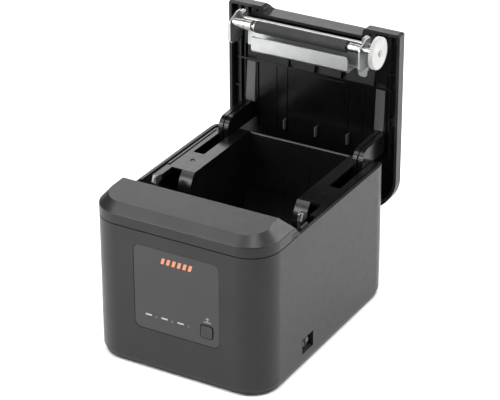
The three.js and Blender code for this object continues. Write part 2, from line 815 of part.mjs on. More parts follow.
// Black tray inside the lid, stiffened by ribs.
function lidLiner() {
  const inset = LID_SKIN + 0.5;
  const tray = lidPlan(inset, LINER.z);
  const ribLow = 110.5;
  const wide = HALF_WIDTH - 6;
  const crossRib = box([-wide, wide], [94, 95.6], [ribLow, LINER.z[0] + 0.5]);
  const rails = SIDES.flatMap(([, side]) => [
    box(mirrored([61.6, 62.8], side), [74, 150], [ribLow, LINER.z[0] + 0.5]),
    box(mirrored([48.2, 49.4], side), [96, 150], [ribLow + 2, LINER.z[0] + 0.5]),
  ]);
  const notches = [-20, 2, 24].map((x) => box([x - 2, x + 2], [86, 88], [ribLow, LINER.z[0] + 0.5]));
  return union(tray, crossRib, ...rails, ...notches);
}

// Arms with a round front corner, reaching down from the lid to the hinge pin. Each is two cheeks
// with a channel between them.
function hingeArm(side) {
  const { y, z } = HINGE;
  const rise = LINER.z[0] - GAP - z;
  const shape = new THREE.Shape();
  shape.moveTo(y + 7, z);
  shape.lineTo(y + 4, z + 6);
  shape.lineTo(y - 25, z + 8);
  shape.lineTo(y - 25, z + rise);
  shape.lineTo(y - 72, z + rise);
  shape.lineTo(y - 72, z + rise - 4);
  shape.lineTo(y - 40, z + rise - 5);
  shape.lineTo(y - 38.5, z + 2);
  shape.absarc(y - 29.5, z + 2, 9, Math.PI, Math.PI * 1.5);
  shape.absarc(y, z, 7, -Math.PI / 2, 0);
  const outer = profile(shape, mirrored([52, 60.2], side), 8);
  const channel = box(mirrored([53.6, 58.6], side), [y - 35, y + 10], [z - 4, z + 60]);
  const rearChannel = box(mirrored([53.6, 58.6], side), [y - 80, y - 35], [z + 15, z + 60]);
  const bore = cylinderX([-70, 70], y, z, HINGE.pinRadius + GAP);
  return cut(outer, channel, rearChannel, bore);
}

// ---- platen unit on the lid ----------------------------------------------------------------
// Distances from the middle: each ear's inner face, the reach of its front flange beyond the
// plate, and the inner end of the bush that it holds.
const EARS = {
  left: { inner: 54.5, flange: 1.3, bushStart: 38.7 },
  right: { inner: 50.3, flange: 0.2, bushStart: 40.8 },
};
const EAR_FRONT = 82.4;
const LIP = { half: 39.6, y: [65, 77], z: 86.8 };

function bracketEar(hand, side) {
  const { inner, flange } = EARS[hand];
  const tab = LINER.z[0] - GAP;
  const ear = polygon([
    [55, EAR_FRONT],
    [70, EAR_FRONT],
    [73, EAR_FRONT + 4],
    [73, 99],
    [68, 101],
    [68, tab],
    [58, tab],
    [58, 100.5],
    [50.3, 100.5],
    [50.3, 93],
  ]);
  const plate = profile(ear, mirrored([inner, inner + SHEET], side));
  const reach = mirrored([inner, inner + SHEET + flange], side);
  return union(plate, box(reach, [56, 70], [EAR_FRONT, EAR_FRONT + SHEET]));
}

function platenBracket() {
  const ears = SIDES.map(([hand, side]) => bracketEar(hand, side));
  const span = [-EARS.left.inner - 0.5, EARS.right.inner + 0.5];
  const back = box(span, [59.5, 77], [98.6, 98.6 + SHEET]);
  const { half, y, z } = LIP;
  const drop = box([-half, half], [y[1] - SHEET, y[1]], [z, 99]);
  const lip = box([-half, half], y, [z, z + SHEET]);
  const shaftHole = cylinderX([-70, 70], PLATEN.y, PLATEN.z, PLATEN.shaftRadius + 2 * GAP);
  const rodHole = cylinderX([-70, 70], ROD.y, ROD.z, ROD.radius + GAP, 16);
  return cut(union(...ears, back, drop, lip), shaftHole, rodHole);
}

const ROD = { y: 56, z: 97, radius: 1.5 };

function guideRod() {
  return cylinderX([-57.5, 54], ROD.y, ROD.z, ROD.radius, 16);
}

// Each bush has a wide end that drops into the mechanism's side plate, and a neck up to the ear.
function platenBush(hand, side) {
  const { y, z } = PLATEN;
  const { inner, bushStart } = EARS[hand];
  const wide = cylinderX(mirrored([bushStart, 48.5], side), y, z, 3.4);
  const neck = cylinderX(mirrored([48, inner - GAP], side), y, z, 3.1);
  return cut(union(wide, neck), cylinderX([-70, 70], y, z, PLATEN.shaftRadius + 2 * GAP));
}

function platenShaft() {
  return cylinderX([-57, GEAR_FACE[1] + 1], PLATEN.y, PLATEN.z, PLATEN.shaftRadius);
}

function platenRoller() {
  const sleeve = cylinderX(PLATEN.x, PLATEN.y, PLATEN.z, PLATEN.radius, 32);
  return cut(sleeve, cylinderX([-50, 50], PLATEN.y, PLATEN.z, PLATEN.shaftRadius + GAP));
}

function platenGear() {
  const wheel = gearAlongX(PLATEN_TEETH, PLATEN, platenGearPhase());
  return cut(wheel, cylinderX([60, 70], PLATEN.y, PLATEN.z, PLATEN.shaftRadius + GAP));
}

function shaftClip() {
  const { x, y, z, shaftRadius } = PLATEN;
  const ring = cylinderX([x[0] - 2.6, x[0] - 1.8], y, z, 4);
  const mouth = box([x[0] - 3, x[0] - 1], [y - 1.4, y + 1.4], [z - 6, z]);
  return cut(ring, cylinderX([x[0] - 3, x[0] - 1], y, z, shaftRadius + GAP), mouth);
}

// ---- everything together -------------------------------------------------------------------
function cornerName([x, y]) {
  const end = y < DEPTH / 2 ? "front" : "rear";
  const hand = x < 0 ? "left" : "right";
  return `${end}_${hand}`;
}

add("lower_housing", lowerHousing(), casing);
add("base_plate", basePlate(), casing);
for (const spot of FOOT_SPOTS) {
  const [x, y] = spot;
  add(`${cornerName(spot)}_foot`, cylinderZ(x, y, [-FOOT_DROP, 0.7], 6.2, 16), rubber);
}
for (const spot of SCREW_SPOTS) {
  add(`${cornerName(spot)}_base_screw`, baseScrew(spot), steel);
}
add("front_cap", frontCap(), casing);
add("tear_bar", tearBar(), steel);
add("front_panel", frontPanel(), panelPlastic);
add("feed_button", feedButton(), panelPlastic);
for (const [name, x] of LIGHTS) {
  add(name, statusLight(x), lightPlastic);
}
add("panel_board", panelBoard(), circuitBoard);
add("inner_frame", innerFrame(), blackPlastic);
add("mechanism_frame", mechanismFrame(), steel);
add("head_pivot_pin", headPivotPin(), steel);
add("heat_sink", heatSink(), castMetal);
add("print_head", printHead(), ceramic);
add("drive_motor", driveMotor(), castMetal);
add("idler_pin", idlerPin(), steel);
add("idler_gear", idlerGear(), whitePlastic);
add("motor_pinion", motorPinion(), whitePlastic);
add("cutter_frame", cutterFrame(), steel);
add("moving_blade", movingBlade(), steel);
add("cutter_pinion", cutterPinion(), whitePlastic);
add("cutter_motor", cutterMotor(), castMetal);
add("latch_shaft", latchShaft(), steel);
add("main_board", mainBoard(), circuitBoard);
for (const spec of SOCKETS) {
  add(spec.name, socket(spec), blackPlastic);
}
add("paper_sensor", paperSensor(), blackPlastic);
add("power_switch_body", powerSwitchBody(), blackPlastic);
add("power_rocker", powerRocker(), blackPlastic);
for (const [hand, side] of SIDES) {
  add(`${hand}_hinge_pin`, hingePin(side), steel);
  add(`${hand}_head_spring`, headSpring(side * 25), steel);
  add(`${hand}_latch_hook`, latchHook(side), steel);
  addToLid(`${hand}_hinge_arm`, hingeArm(side), blackPlastic);
  addToLid(`${hand}_platen_bush`, platenBush(hand, side), steel);
}
addToLid("lid_shell", lidShell(), casing);
addToLid("lid_liner", lidLiner(), blackPlastic);
addToLid("platen_bracket", platenBracket(), steel);
addToLid("guide_rod", guideRod(), steel);
addToLid("platen_shaft", platenShaft(), steel);
addToLid("platen_roller", platenRoller(), rubber);
addToLid("platen_gear", platenGear(), whitePlastic);
addToLid("shaft_clip", shaftClip(), steel);

// The whole object stands centred over the origin in its open pose.
const openDepth = HINGE.y + TOP - HINGE.z;
for (const child of printer.children) {
  child.position.y -= openDepth / 2;
}

export default printer;
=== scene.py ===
"""Looks of the receipt printer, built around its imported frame.

Shapes are drawn in millimetres, with the front wall at y = 0 and the underside of the base plate
at z = 0. Lid pieces are drawn shut, then turned open about the frame's lid hinge.
"""
import json
import math

import bmesh
import bpy
from mathutils import Matrix, Vector


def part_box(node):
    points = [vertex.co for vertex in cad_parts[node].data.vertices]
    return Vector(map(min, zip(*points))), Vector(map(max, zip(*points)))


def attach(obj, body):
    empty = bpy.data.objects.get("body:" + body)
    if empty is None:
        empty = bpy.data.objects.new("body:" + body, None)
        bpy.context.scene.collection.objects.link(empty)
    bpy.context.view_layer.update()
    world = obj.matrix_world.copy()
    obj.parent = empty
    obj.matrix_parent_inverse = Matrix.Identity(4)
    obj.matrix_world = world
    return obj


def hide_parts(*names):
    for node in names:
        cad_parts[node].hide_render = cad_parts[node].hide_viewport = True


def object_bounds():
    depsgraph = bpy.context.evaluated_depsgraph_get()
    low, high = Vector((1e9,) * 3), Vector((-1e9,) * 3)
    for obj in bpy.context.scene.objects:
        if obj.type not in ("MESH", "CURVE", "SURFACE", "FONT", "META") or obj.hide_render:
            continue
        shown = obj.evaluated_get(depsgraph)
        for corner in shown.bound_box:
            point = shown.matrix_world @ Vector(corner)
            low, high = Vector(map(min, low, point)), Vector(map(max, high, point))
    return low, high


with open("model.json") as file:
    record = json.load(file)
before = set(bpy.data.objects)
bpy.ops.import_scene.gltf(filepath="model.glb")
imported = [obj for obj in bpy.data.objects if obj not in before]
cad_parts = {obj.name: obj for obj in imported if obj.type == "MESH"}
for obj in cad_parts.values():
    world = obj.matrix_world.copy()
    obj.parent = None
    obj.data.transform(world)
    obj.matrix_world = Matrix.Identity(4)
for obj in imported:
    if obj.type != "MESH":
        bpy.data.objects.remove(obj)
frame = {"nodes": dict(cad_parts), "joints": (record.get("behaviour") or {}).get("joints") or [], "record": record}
cad_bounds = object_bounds()

# ---- where the drawing sits in the frame ---------------
MM = 0.001
ORIGIN = Vector((0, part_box("lower_housing")[0].y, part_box("base_plate")[0].z))
HINGE_POINT = Vector(next(j["pos_m"] for j in frame["joints"] if j["name"] == "lid_hinge"))
ON_BODY = Matrix.Translation(ORIGIN) @ Matrix.Scale(MM, 4)
SWUNG_OPEN = (
    Matrix.Translation(HINGE_POINT)
    @ Matrix.Rotation(-math.pi / 2, 4, "X")
    @ Matrix.Translation(-HINGE_POINT)
)
ON_LID = SWUNG_OPEN @ ON_BODY
BODIES = frame["record"]["behaviour"]["bodies"]
LID_NODES = set(BODIES["lid"] + BODIES["platen"])


def drawn(node):
    """Lowest and highest corner of a CAD node in the drawing's millimetres."""
    back = (ON_LID if node in LID_NODES else ON_BODY).inverted()
    corners = [back @ vertex.co for vertex in frame["nodes"][node].data.vertices]
    return Vector(map(min, zip(*corners))), Vector(map(max, zip(*corners)))


def centre_of(node):
    low, high = drawn(node)
    return (low + high) / 2


def spans(node, gap=0):
    """A CAD node's spans in X, Y and Z, widened by a gap at both ends."""
    low, high = drawn(node)
    return [(low[i] - gap, high[i] + gap) for i in range(3)]


# ---- sizes, in millimetres -----------------------------
HALF_WIDTH = drawn("lower_housing")[1].x
DEPTH = drawn("lower_housing")[1].y
FRONT_RADIUS = 23
REAR_RADIUS = 25
WALL = 2.5
HOUSING_FOOT = drawn("lower_housing")[0].z
RIM = 107.2
SEAM = drawn("front_cap")[0].z
BEVEL_START = 115.5
TOP = drawn("front_cap")[1].z
BEVEL_INSET = 9
CAP_SLOPE = math.radians(6.5)
CAP_FOOT = 48.6
CAP_CREST = 34
LID_FRONT = drawn("lid_shell")[0].y
LID_SKIN = 2.2
HINGE = ON_BODY.inverted() @ HINGE_POINT
BAY_HALF = 42
BAY_WALL = 2
BAY_FRONT = 79
BAY_REAR = 177
ROLL = {"y": 128, "z": 68, "radius": 44}
DECK_TOP = 106
DECK_FRONT = 97.5
SLOT_X = (51.5, 60.7)
SHEET = 1.2
PLATEN = (56.3, 87.4)
SHAFT_RADIUS = 2.2
GEAR = {"module": 0.5, "face": (61.5, 65)}
PIN_HOLE = 3.3
ROCKER_TILT = 7
INK = 0.06
SIDES = (("left", -1), ("right", 1))
# spans that reach past both sides, the second past the first as well
ALL_X = (-80, 80)
PAST_ALL_X = (-81, 81)


# ---- outlines ------------------------------------------
def arc(centre, radius, start, end, steps):
    """Points round a circle from one angle to another, in degrees."""
    angles = [math.radians(start + (end - start) * i / steps) for i in range(steps + 1)]
    return [(centre[0] + radius * math.cos(a), centre[1] + radius * math.sin(a)) for a in angles]


def circle(centre, radius, steps=48):
    return arc(centre, radius, 0, 360, steps)[:-1]


def filleted(corners, steps=6):
    """Polygon through (a, b, radius) corners, each rounded to its radius."""
    points = []
    for i, (a, b, radius) in enumerate(corners):
        here = Vector((a, b))
        if not radius:
            points.append((a, b))
            continue
        before = (Vector(corners[i - 1][:2]) - here).normalized()
        after = (Vector(corners[(i + 1) % len(corners)][:2]) - here).normalized()
        half = before.angle(after) / 2
        centre = here + (before + after).normalized() * radius / math.sin(half)
        first = here + before * radius / math.tan(half) - centre
        last = here + after * radius / math.tan(half) - centre
        start = math.degrees(math.atan2(first.y, first.x))
        turn = math.degrees(math.atan2(last.y, last.x)) - start
        turn = (turn + 180) % 360 - 180
        points += arc(centre, radius, start, start + turn, steps)
    return points


def rectangle(a_span, b_span):
    (a0, a1), (b0, b1) = a_span, b_span
    return [(a0, b0), (a1, b0), (a1, b1), (a0, b1)]


def rounded(a_span, b_span, low, high=None, steps=8):
    """Rectangle whose lower and upper corner pairs have their own radii."""
    high = low if high is None else high
    corners = zip(rectangle(a_span, b_span), (low, low, high, high))
    return filleted([(a, b, radius) for (a, b), radius in corners], steps)


def footprint(inset, steps=24):
    """Plan outline of the printer, the same number of points for every inset."""
    front = HALF_WIDTH - FRONT_RADIUS
    rear = HALF_WIDTH - REAR_RADIUS
    corners = (
        (front, FRONT_RADIUS, FRONT_RADIUS, -90),
        (rear, DEPTH - REAR_RADIUS, REAR_RADIUS, 0),
        (-rear, DEPTH - REAR_RADIUS, REAR_RADIUS, 90),
        (-front, FRONT_RADIUS, FRONT_RADIUS, 180),
    )
    points = []
    for x, y, radius, start in corners:
        points += arc((x, y), radius - inset, start, start + 90, steps)
    return points


def across(span, side):
    """An X span drawn on the right, mirrored for the left side."""
    return span if side > 0 else (-span[1], -span[0])


# ---- solids --------------------------------------------
def solid(bm):
    bmesh.ops.recalc_face_normals(bm, faces=bm.faces)
    mesh = bpy.data.meshes.new("solid")
    bm.to_mesh(mesh)
    bm.free()
    obj = bpy.data.objects.new("solid", mesh)
    bpy.context.scene.collection.objects.link(obj)
    return obj


def rings_to_solid(rings, looped=False):
    """Closed solid through rings of equally many points, capped unless it loops on itself."""
    bm = bmesh.new()
    made = [[bm.verts.new(point) for point in ring] for ring in rings]
    pairs = list(zip(made, made[1:]))
    if looped:
        pairs.append((made[-1], made[0]))
    else:
        bm.faces.new(made[0])
        bm.faces.new(made[-1])
    for low, high in pairs:
        for i in range(len(low)):
            bm.faces.new((low[i - 1], low[i], high[i], high[i - 1]))
    return solid(bm)


def placed(points, along, axis):
    """An outline drawn across an axis, (y, z), (x, z) or (x, y), set at a place along it."""
    if axis == "X":
        return [(along, a, b) for a, b in points]
    if axis == "Y":
        return [(a, along, b) for a, b in points]
    return [(a, b, along) for a, b in points]


def prism(points, span, axis):
    """Solid of one outline spread along an axis."""
    return rings_to_solid([placed(points, along, axis) for along in span])


def block(x, y, z):
    return prism(rectangle(x, y), z, "Z")


def rod(centre, radius, span, axis="X", steps=48):
    return prism(circle(centre, radius, steps), span, axis)


def turned(stations, centre, axis="X", steps=64, looped=False):
    """Solid of revolution from (along, radius) stations about a line parallel to an axis."""
    rings = [placed(circle(centre, radius, steps), along, axis) for along, radius in stations]
    return rings_to_solid(rings, looped)


def bake(obj):
    """Turns the object's modifiers into its mesh."""
    evaluated = obj.evaluated_get(bpy.context.evaluated_depsgraph_get())
    mesh = bpy.data.meshes.new_from_object(evaluated)
    obj.modifiers.clear()
    old = obj.data
    obj.data = mesh
    bpy.data.meshes.remove(old)
    return obj


def boolean(operation, base, tools):
    for tool in tools:
        modifier = base.modifiers.new("boolean", "BOOLEAN")
        modifier.operation = operation
        modifier.solver = "MANIFOLD"
        modifier.object = tool
    bake(base)
    for tool in tools:
        bpy.data.meshes.remove(tool.data)
    return base


def cut(base, *tools):
    return boolean("DIFFERENCE", base, tools)


def join(base, *tools):
    return boolean("UNION", base, tools)


def keep(base, *tools):
    return boolean("INTERSECT", base, tools)


def soften(obj, edge, segments=2):
    """Rounds the sharp edges and smooths the shading between them."""
    bm = bmesh.new()
    bm.from_mesh(obj.data)
    bmesh.ops.remove_doubles(bm, verts=bm.verts, dist=0.004)
    bmesh.ops.dissolve_limit(bm, angle_limit=math.radians(0.1), verts=bm.verts, edges=bm.edges)
    for face in bm.faces:
        face.smooth = True
    bm.to_mesh(obj.data)
    bm.free()
    if edge:
        bevel = obj.modifiers.new("edges", "BEVEL")
        bevel.width = edge
        bevel.segments = segments
        bevel.limit_method = "ANGLE"
        bevel.angle_limit = math.radians(40)
        bevel.miter_outer = "MITER_ARC"
        bake(obj)
    obj.data.set_sharp_from_angle(angle=math.radians(36))
    obj.modifiers.new("shading", "WEIGHTED_NORMAL").keep_sharp = True
    return bake(obj)


def piece(obj, name, finish, body, replaces=(), edge=0.25, segments=2):
    """Finishes a drawn solid as a named piece that rides on a body."""
    soften(obj, edge, segments)
    obj.data.transform(ON_LID if body in ("lid", "platen") else ON_BODY)
    obj.name = name
    obj.data.name = name
    obj.data.materials.clear()
    obj.data.materials.append(FINISHES[finish])
    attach(obj, body)
    if replaces:
        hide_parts(*replaces)
    return obj


class Finish:
    """A Principled material with helpers for its procedural detail, in metres."""

    def __init__(self, name, roughness, metallic=0.0, **sockets):
        self.material = bpy.data.materials.new(name)
        self.material.use_nodes = True
        self.nodes = self.material.node_tree.nodes
        self.links = self.material.node_tree.links
        self.shader = self.nodes["Principled BSDF"]
        self.shader.inputs["Roughness"].default_value = roughness
        self.shader.inputs["Metallic"].default_value = metallic
        for socket, value in sockets.items():
            self.shader.inputs[socket.replace("_", " ")].default_value = value
        self.place = self.nodes.new("ShaderNodeTexCoord").outputs["Object"]
        self.normal = None

    def noise(self, scale, detail=2.0, stretch=(1, 1, 1)):
        mapping = self.nodes.new("ShaderNodeMapping")
        mapping.inputs["Scale"].default_value = stretch
        self.links.new(self.place, mapping.inputs["Vector"])
        texture = self.nodes.new("ShaderNodeTexNoise")
        texture.inputs["Scale"].default_value = scale
        texture.inputs["Detail"].default_value = detail
        self.links.new(mapping.outputs["Vector"], texture.inputs["Vector"])
        return texture.outputs["Fac"]

    def speckle(self, scale):
        texture = self.nodes.new("ShaderNodeTexVoronoi")
        texture.inputs["Scale"].default_value = scale
        self.links.new(self.place, texture.inputs["Vector"])
        return texture.outputs["Distance"]

    def between(self, source, low, high):
        """The middle of a noise spread over a range."""
        spread = self.nodes.new("ShaderNodeMapRange")
        spread.inputs["From Min"].default_value = 0.3
        spread.inputs["From Max"].default_value = 0.7
        spread.inputs["To Min"].default_value = low
        spread.inputs["To Max"].default_value = high
        self.links.new(source, spread.inputs["Value"])
        return spread.outputs["Result"]

    def colour(self, source, dark, light):
        mix = self.nodes.new("ShaderNodeMix")
        mix.data_type = "RGBA"
        mix.inputs["A"].default_value = (*dark, 1)
        mix.inputs["B"].default_value = (*light, 1)
        self.links.new(self.between(source, 0, 1), mix.inputs["Factor"])
        self.links.new(mix.outputs["Result"], self.shader.inputs["Base Color"])

    def rough(self, source, low, high):
        self.links.new(self.between(source, low, high), self.shader.inputs["Roughness"])

    def bump(self, source, height, strength=1.0):
        node = self.nodes.new("ShaderNodeBump")
        node.inputs["Strength"].default_value = strength
        node.inputs["Distance"].default_value = height
        self.links.new(source, node.inputs["Height"])
        if self.normal:
            self.links.new(self.normal, node.inputs["Normal"])
        self.normal = node.outputs["Normal"]
        self.links.new(self.normal, self.shader.inputs["Normal"])


def grained_plastic(name, dark, light, rough, grain, **sockets):
    """Moulded plastic: fine mould grain, faint flow mottling and uneven gloss."""
    finish = Finish(name, rough[0], **sockets)
    finish.colour(finish.noise(38, 3), dark, light)
    finish.rough(finish.noise(160, 3), *rough)
    if grain:
        finish.bump(finish.noise(2600, 2), grain, 0.4)
    return finish.material


def sheet_metal(name, dark, light, rough):
    """Zinc-plated sheet with fine rolling lines along X."""
    finish = Finish(name, rough[0], metallic=1.0)
    lines = finish.noise(60, 4, stretch=(1.2, 40, 40))
    finish.colour(finish.noise(90, 5), dark, light)
    finish.rough(lines, *rough)
    finish.bump(lines, 0.000003, 0.4)
    return finish.material


def ground_steel():
    """Bright ground rod with faint smears."""
    finish = Finish("ground_steel", 0.25, metallic=1.0)
    finish.colour(finish.noise(25, 2), (0.24, 0.237, 0.23), (0.29, 0.287, 0.28))
    finish.rough(finish.noise(30, 2), 0.25, 0.31)
    return finish.material


def ground_rubber():
    """Ground silicone rubber: dull, with a fine pitted surface."""
    finish = Finish("rubber", 0.7, Specular_IOR_Level=0.25)
    finish.colour(finish.noise(70, 4), (0.011, 0.011, 0.012), (0.017, 0.017, 0.018))
    finish.rough(finish.noise(700, 3), 0.55, 0.8)
    finish.bump(finish.speckle(3200), 0.00003, 0.5)
    return finish.material


def acetal():
    """White moulded gear plastic, a little waxy."""
    finish = Finish("white_plastic", 0.42, Subsurface_Weight=0.15, Subsurface_Scale=0.002)
    finish.colour(finish.noise(120, 3), (0.33, 0.33, 0.325), (0.38, 0.38, 0.375))
    finish.rough(finish.noise(500, 3), 0.35, 0.5)
    finish.bump(finish.noise(2500, 2), 0.00001, 0.3)
    return finish.material


def circuit_board():
    """Green solder mask over a faint pattern of tracks."""
    finish = Finish("board", 0.4, Coat_Weight=0.3)
    tracks = finish.nodes.new("ShaderNodeTexBrick")
    tracks.inputs["Scale"].default_value = 90
    tracks.inputs["Mortar Size"].default_value = 0.03
    tracks.inputs["Color1"].default_value = (0.008, 0.09, 0.03, 1)
    tracks.inputs["Color2"].default_value = (0.010, 0.11, 0.035, 1)
    tracks.inputs["Mortar"].default_value = (0.02, 0.17, 0.06, 1)
    finish.links.new(finish.place, tracks.inputs["Vector"])
    finish.links.new(tracks.outputs["Color"], finish.shader.inputs["Base Color"])
    finish.bump(finish.noise(900, 2), 0.00001, 0.3)
    return finish.material


def printed_ink(name, dark, light):
    """Thin screen-printed ink with a slightly uneven coat."""
    finish = Finish(name, 0.5)
    finish.colour(finish.noise(900, 3), dark, light)
    finish.bump(finish.noise(3000, 2), 0.00001, 0.3)
    return finish.material


def light_guide():
    """Frosted clear plastic that glows faintly."""
    finish = Finish("light_guide", 0.3, Emission_Strength=0.02, Coat_Weight=0.2)
    finish.shader.inputs["Emission Color"].default_value = (0.95, 0.97, 1.0, 1)
    finish.colour(finish.noise(1500, 2), (0.22, 0.224, 0.23), (0.27, 0.275, 0.285))
    finish.rough(finish.noise(1800, 2), 0.25, 0.4)
    return finish.material


def ceramic():
    """Glazed print head substrate."""
    finish = Finish("ceramic", 0.25, Coat_Weight=0.3)
    finish.colour(finish.noise(200, 3), (0.55, 0.50, 0.42), (0.66, 0.61, 0.52))
    finish.bump(finish.noise(1500, 2), 0.000006, 0.3)
    return finish.material


FINISHES = {
    "casing": grained_plastic(
        "casing", (0.008, 0.008, 0.0086), (0.0105, 0.0105, 0.0112), (0.33, 0.39), 0.000008,
        Specular_IOR_Level=0.24,
    ),
    "panel": grained_plastic(
        "panel", (0.0195, 0.0195, 0.0205), (0.0225, 0.0225, 0.0235), (0.29, 0.30), 0,
        Specular_IOR_Level=0.28,
    ),
    "key_plastic": grained_plastic(
        "key_plastic", (0.012, 0.012, 0.013), (0.015, 0.015, 0.016), (0.28, 0.36), 0,
        Specular_IOR_Level=0.3,
    ),
    # Near-black matt finish: painted shade on the skin over the paper bay, and the dark ring round the feed
    # button.
    "matt_black": grained_plastic(
        "matt_black", (0.0008, 0.0008, 0.0009), (0.0014, 0.0014, 0.0015), (0.6, 0.75), 0.00002,
        Specular_IOR_Level=0.05,
    ),
    # Lighter, shinier copy of black_plastic, used on the bay sill: painted highlight.
    "gloss_black": grained_plastic(
        "gloss_black", (0.020, 0.020, 0.020), (0.026, 0.026, 0.026), (0.2, 0.26), 0,
        Specular_IOR_Level=0.9,
    ),
    "channel_plastic": grained_plastic(
        "channel_plastic", (0.032, 0.032, 0.032), (0.045, 0.045, 0.045), (0.35, 0.5), 0
    ),
    "blackened_steel": sheet_metal(
        "blackened_steel", (0.03, 0.03, 0.032), (0.05, 0.05, 0.052), (0.3, 0.4)
    ),
    "black_plastic": grained_plastic(
        "black_plastic", (0.0018, 0.0018, 0.0019), (0.0028, 0.0028, 0.0029), (0.19, 0.24), 0,
        Specular_IOR_Level=0.2,
    ),
    "steel": sheet_metal("steel", (0.34, 0.35, 0.35), (0.40, 0.41, 0.41), (0.36, 0.46)),
    "hook_metal": sheet_metal("hook_metal", (0.12, 0.12, 0.12), (0.17, 0.17, 0.17), (0.40, 0.55)),
    "motor_metal": sheet_metal("motor_metal", (0.30, 0.31, 0.32), (0.40, 0.41, 0.42), (0.35, 0.5)),
    "ground_steel": ground_steel(),
    "rubber": ground_rubber(),
    "white_plastic": acetal(),
    "light_guide": light_guide(),
    "board": circuit_board(),
    "ceramic": ceramic(),
    "orange_ink": printed_ink("orange_ink", (0.47, 0.145, 0.065), (0.52, 0.165, 0.075)),
    "pale_ink": printed_ink("pale_ink", (0.13, 0.13, 0.135), (0.17, 0.17, 0.175)),
    "panel_ink": printed_ink("panel_ink", (0.11, 0.11, 0.115), (0.13, 0.13, 0.135)),
    "white_ink": printed_ink("white_ink", (0.25, 0.25, 0.25), (0.32, 0.32, 0.32)),
}


# ---- housing -------------------------------------------
SOCKETS = ("power_jack", "usb_port", "network_port", "drawer_port")


def swing_clearance(radius):
    """What the lid sweeps behind its hinge, seen from the side."""
    behind = block(ALL_X, (HINGE.y, DEPTH + 5), (HINGE.z + 8, RIM + 5))
    return cut(behind, rod(HINGE.yz, radius, PAST_ALL_X, steps=128))


def casing_shell():
    levels = ((HOUSING_FOOT, 0.9), (HOUSING_FOOT + 2.2, 0), (RIM, 0))
    outside = rings_to_solid([[(x, y, z) for x, y in footprint(inset)] for z, inset in levels])
    shell = cut(outside, prism(footprint(WALL), (-5, RIM + 5), "Z"))
    lips = []
    for _, side in SIDES:
        span = across((HALF_WIDTH - WALL - 1.1, HALF_WIDTH - WALL + 0.1), side)
        lips.append(block(span, (LID_FRONT + 6, 65), (RIM - 4, RIM + 2.2)))
    gap = 0.3
    x, _, z = spans("front_panel", gap)
    openings = [prism(rounded(x, z, 5.3, steps=12), (-1, WALL + 2), "Y")]
    _, y, z = spans("power_switch_body", gap)
    openings.append(block((60, 80), y, z))
    for name in SOCKETS:
        x, _, z = spans(name, gap)
        openings.append(prism(rounded(x, z, 0.8), (DEPTH - 9, DEPTH + 3), "Y"))
    return cut(join(shell, *lips), *openings, swing_clearance(SEAM - HINGE.z - 0.5))


def base():
    plate = prism(footprint(1.8), (0, HOUSING_FOOT - 0.02), "Z")
    hollows = []
    for end in ("front", "rear"):
        for hand, _ in SIDES:
            hollows.append(rod(centre_of(f"{end}_{hand}_foot").xy, 6.6, (-1, 1), "Z"))
            hollows.append(rod(centre_of(f"{end}_{hand}_base_screw").xy, 1.9, (-1, 3), "Z"))
    slots = [block((x, x + 2.4), (70, 120), (-1, 5)) for x in range(-36, 40, 8)]
    return cut(plate, *hollows, *slots)


def foot(low, high):
    """Rubber foot with a soft rim and a shallow cup underneath."""
    centre = (low.xy + high.xy) / 2
    radius = (high.x - low.x) / 2
    stations = [
        (low.z + 0.5, 0.4),
        (low.z + 0.4, radius * 0.55),
        (low.z, radius * 0.7),
        (low.z, radius - 0.5),
        (low.z + 0.15, radius - 0.15),
        (low.z + 0.5, radius),
        (high.z, radius),
    ]
    return turned(stations, centre, "Z")


def base_screw(low, high):
    """Pan-head screw with a cross recess."""
    centre = (low.xy + high.xy) / 2
    stations = [
        (low.z, 1.6),
        (low.z + 0.25, 2.6),
        (low.z + 0.7, 3),
        (low.z + 1, 3),
        (low.z + 1, 1.1),
        (high.z, 1.1),
    ]
    screw = turned(stations, centre, "Z", steps=32)
    arms = []
    for long_x, long_y in ((1.7, 0.35), (0.35, 1.7)):
        x, y = (centre[0] - long_x, centre[0] + long_x), (centre[1] - long_y, centre[1] + long_y)
        arms.append(block(x, y, (low.z - 1, low.z + 0.7)))
    return cut(screw, *arms)


def build_housing():
    piece(casing_shell(), "case_shell", "casing", "housing", ["lower_housing"], 0.4, 3)
    piece(base(), "case_floor", "casing", "housing", ["base_plate"], 0.3)
    for end in ("front", "rear"):
        for hand, _ in SIDES:
            node = f"{end}_{hand}_foot"
            piece(foot(*drawn(node)), f"{node}_pad", "rubber", "housing", [node], 0)
            node = f"{end}_{hand}_base_screw"
            piece(base_screw(*drawn(node)), f"{node}_head", "ground_steel", "housing", [node], 0.08)


# ---- domed top shared by the cap and the lid -----------
def dome(bottom, skin):
    """Footprint stacked up to the top, drawn in over the last part as a straight bevel."""
    ease = 1.2
    turn = arc((skin + ease, BEVEL_START - ease * math.tan(math.pi / 8)), ease, 180, 135, 4)
    levels = [(bottom, skin), *((z, inset) for inset, z in turn), (TOP - skin, skin + BEVEL_INSET)]
    return rings_to_solid([[(x, y, z) for x, y in footprint(inset)] for z, inset in levels])


def cap_region(shift):
    """Side view of the cap: its top falls gently to the front and steeply to the rear foot."""
    fall = (CAP_CREST + 5) * math.tan(CAP_SLOPE)
    corners = [
        (-5, SEAM - 20, 0),
        (CAP_FOOT - shift, SEAM - 20, 0),
        (CAP_FOOT - shift, SEAM + 1, 1.5),
        (CAP_CREST - shift, TOP - shift, 1.2),
        (-5, TOP - fall - shift, 0),
    ]
    return prism(filleted(corners), ALL_X, "X")


def cap_shell():
    outside = keep(dome(SEAM, 0), cap_region(0))
    inside = keep(dome(SEAM - 5, WALL), cap_region(WALL))
    slits = []
    for _, side in SIDES:
        for z in (109.2, 111.6):
            span = across((HALF_WIDTH - 0.7, HALF_WIDTH + 2), side)
            slits.append(block(span, (37.7, CAP_FOOT + 2), (z - 0.3, z + 0.3)))
    return cut(outside, inside, *slits)


def build_cap():
    piece(cap_shell(), "cap_shell", "casing", "housing", ["front_cap"], 0.3, 3)


# ---- control panel -------------------------------------
LIGHTS = ("power_light", "paper_light", "error_light")


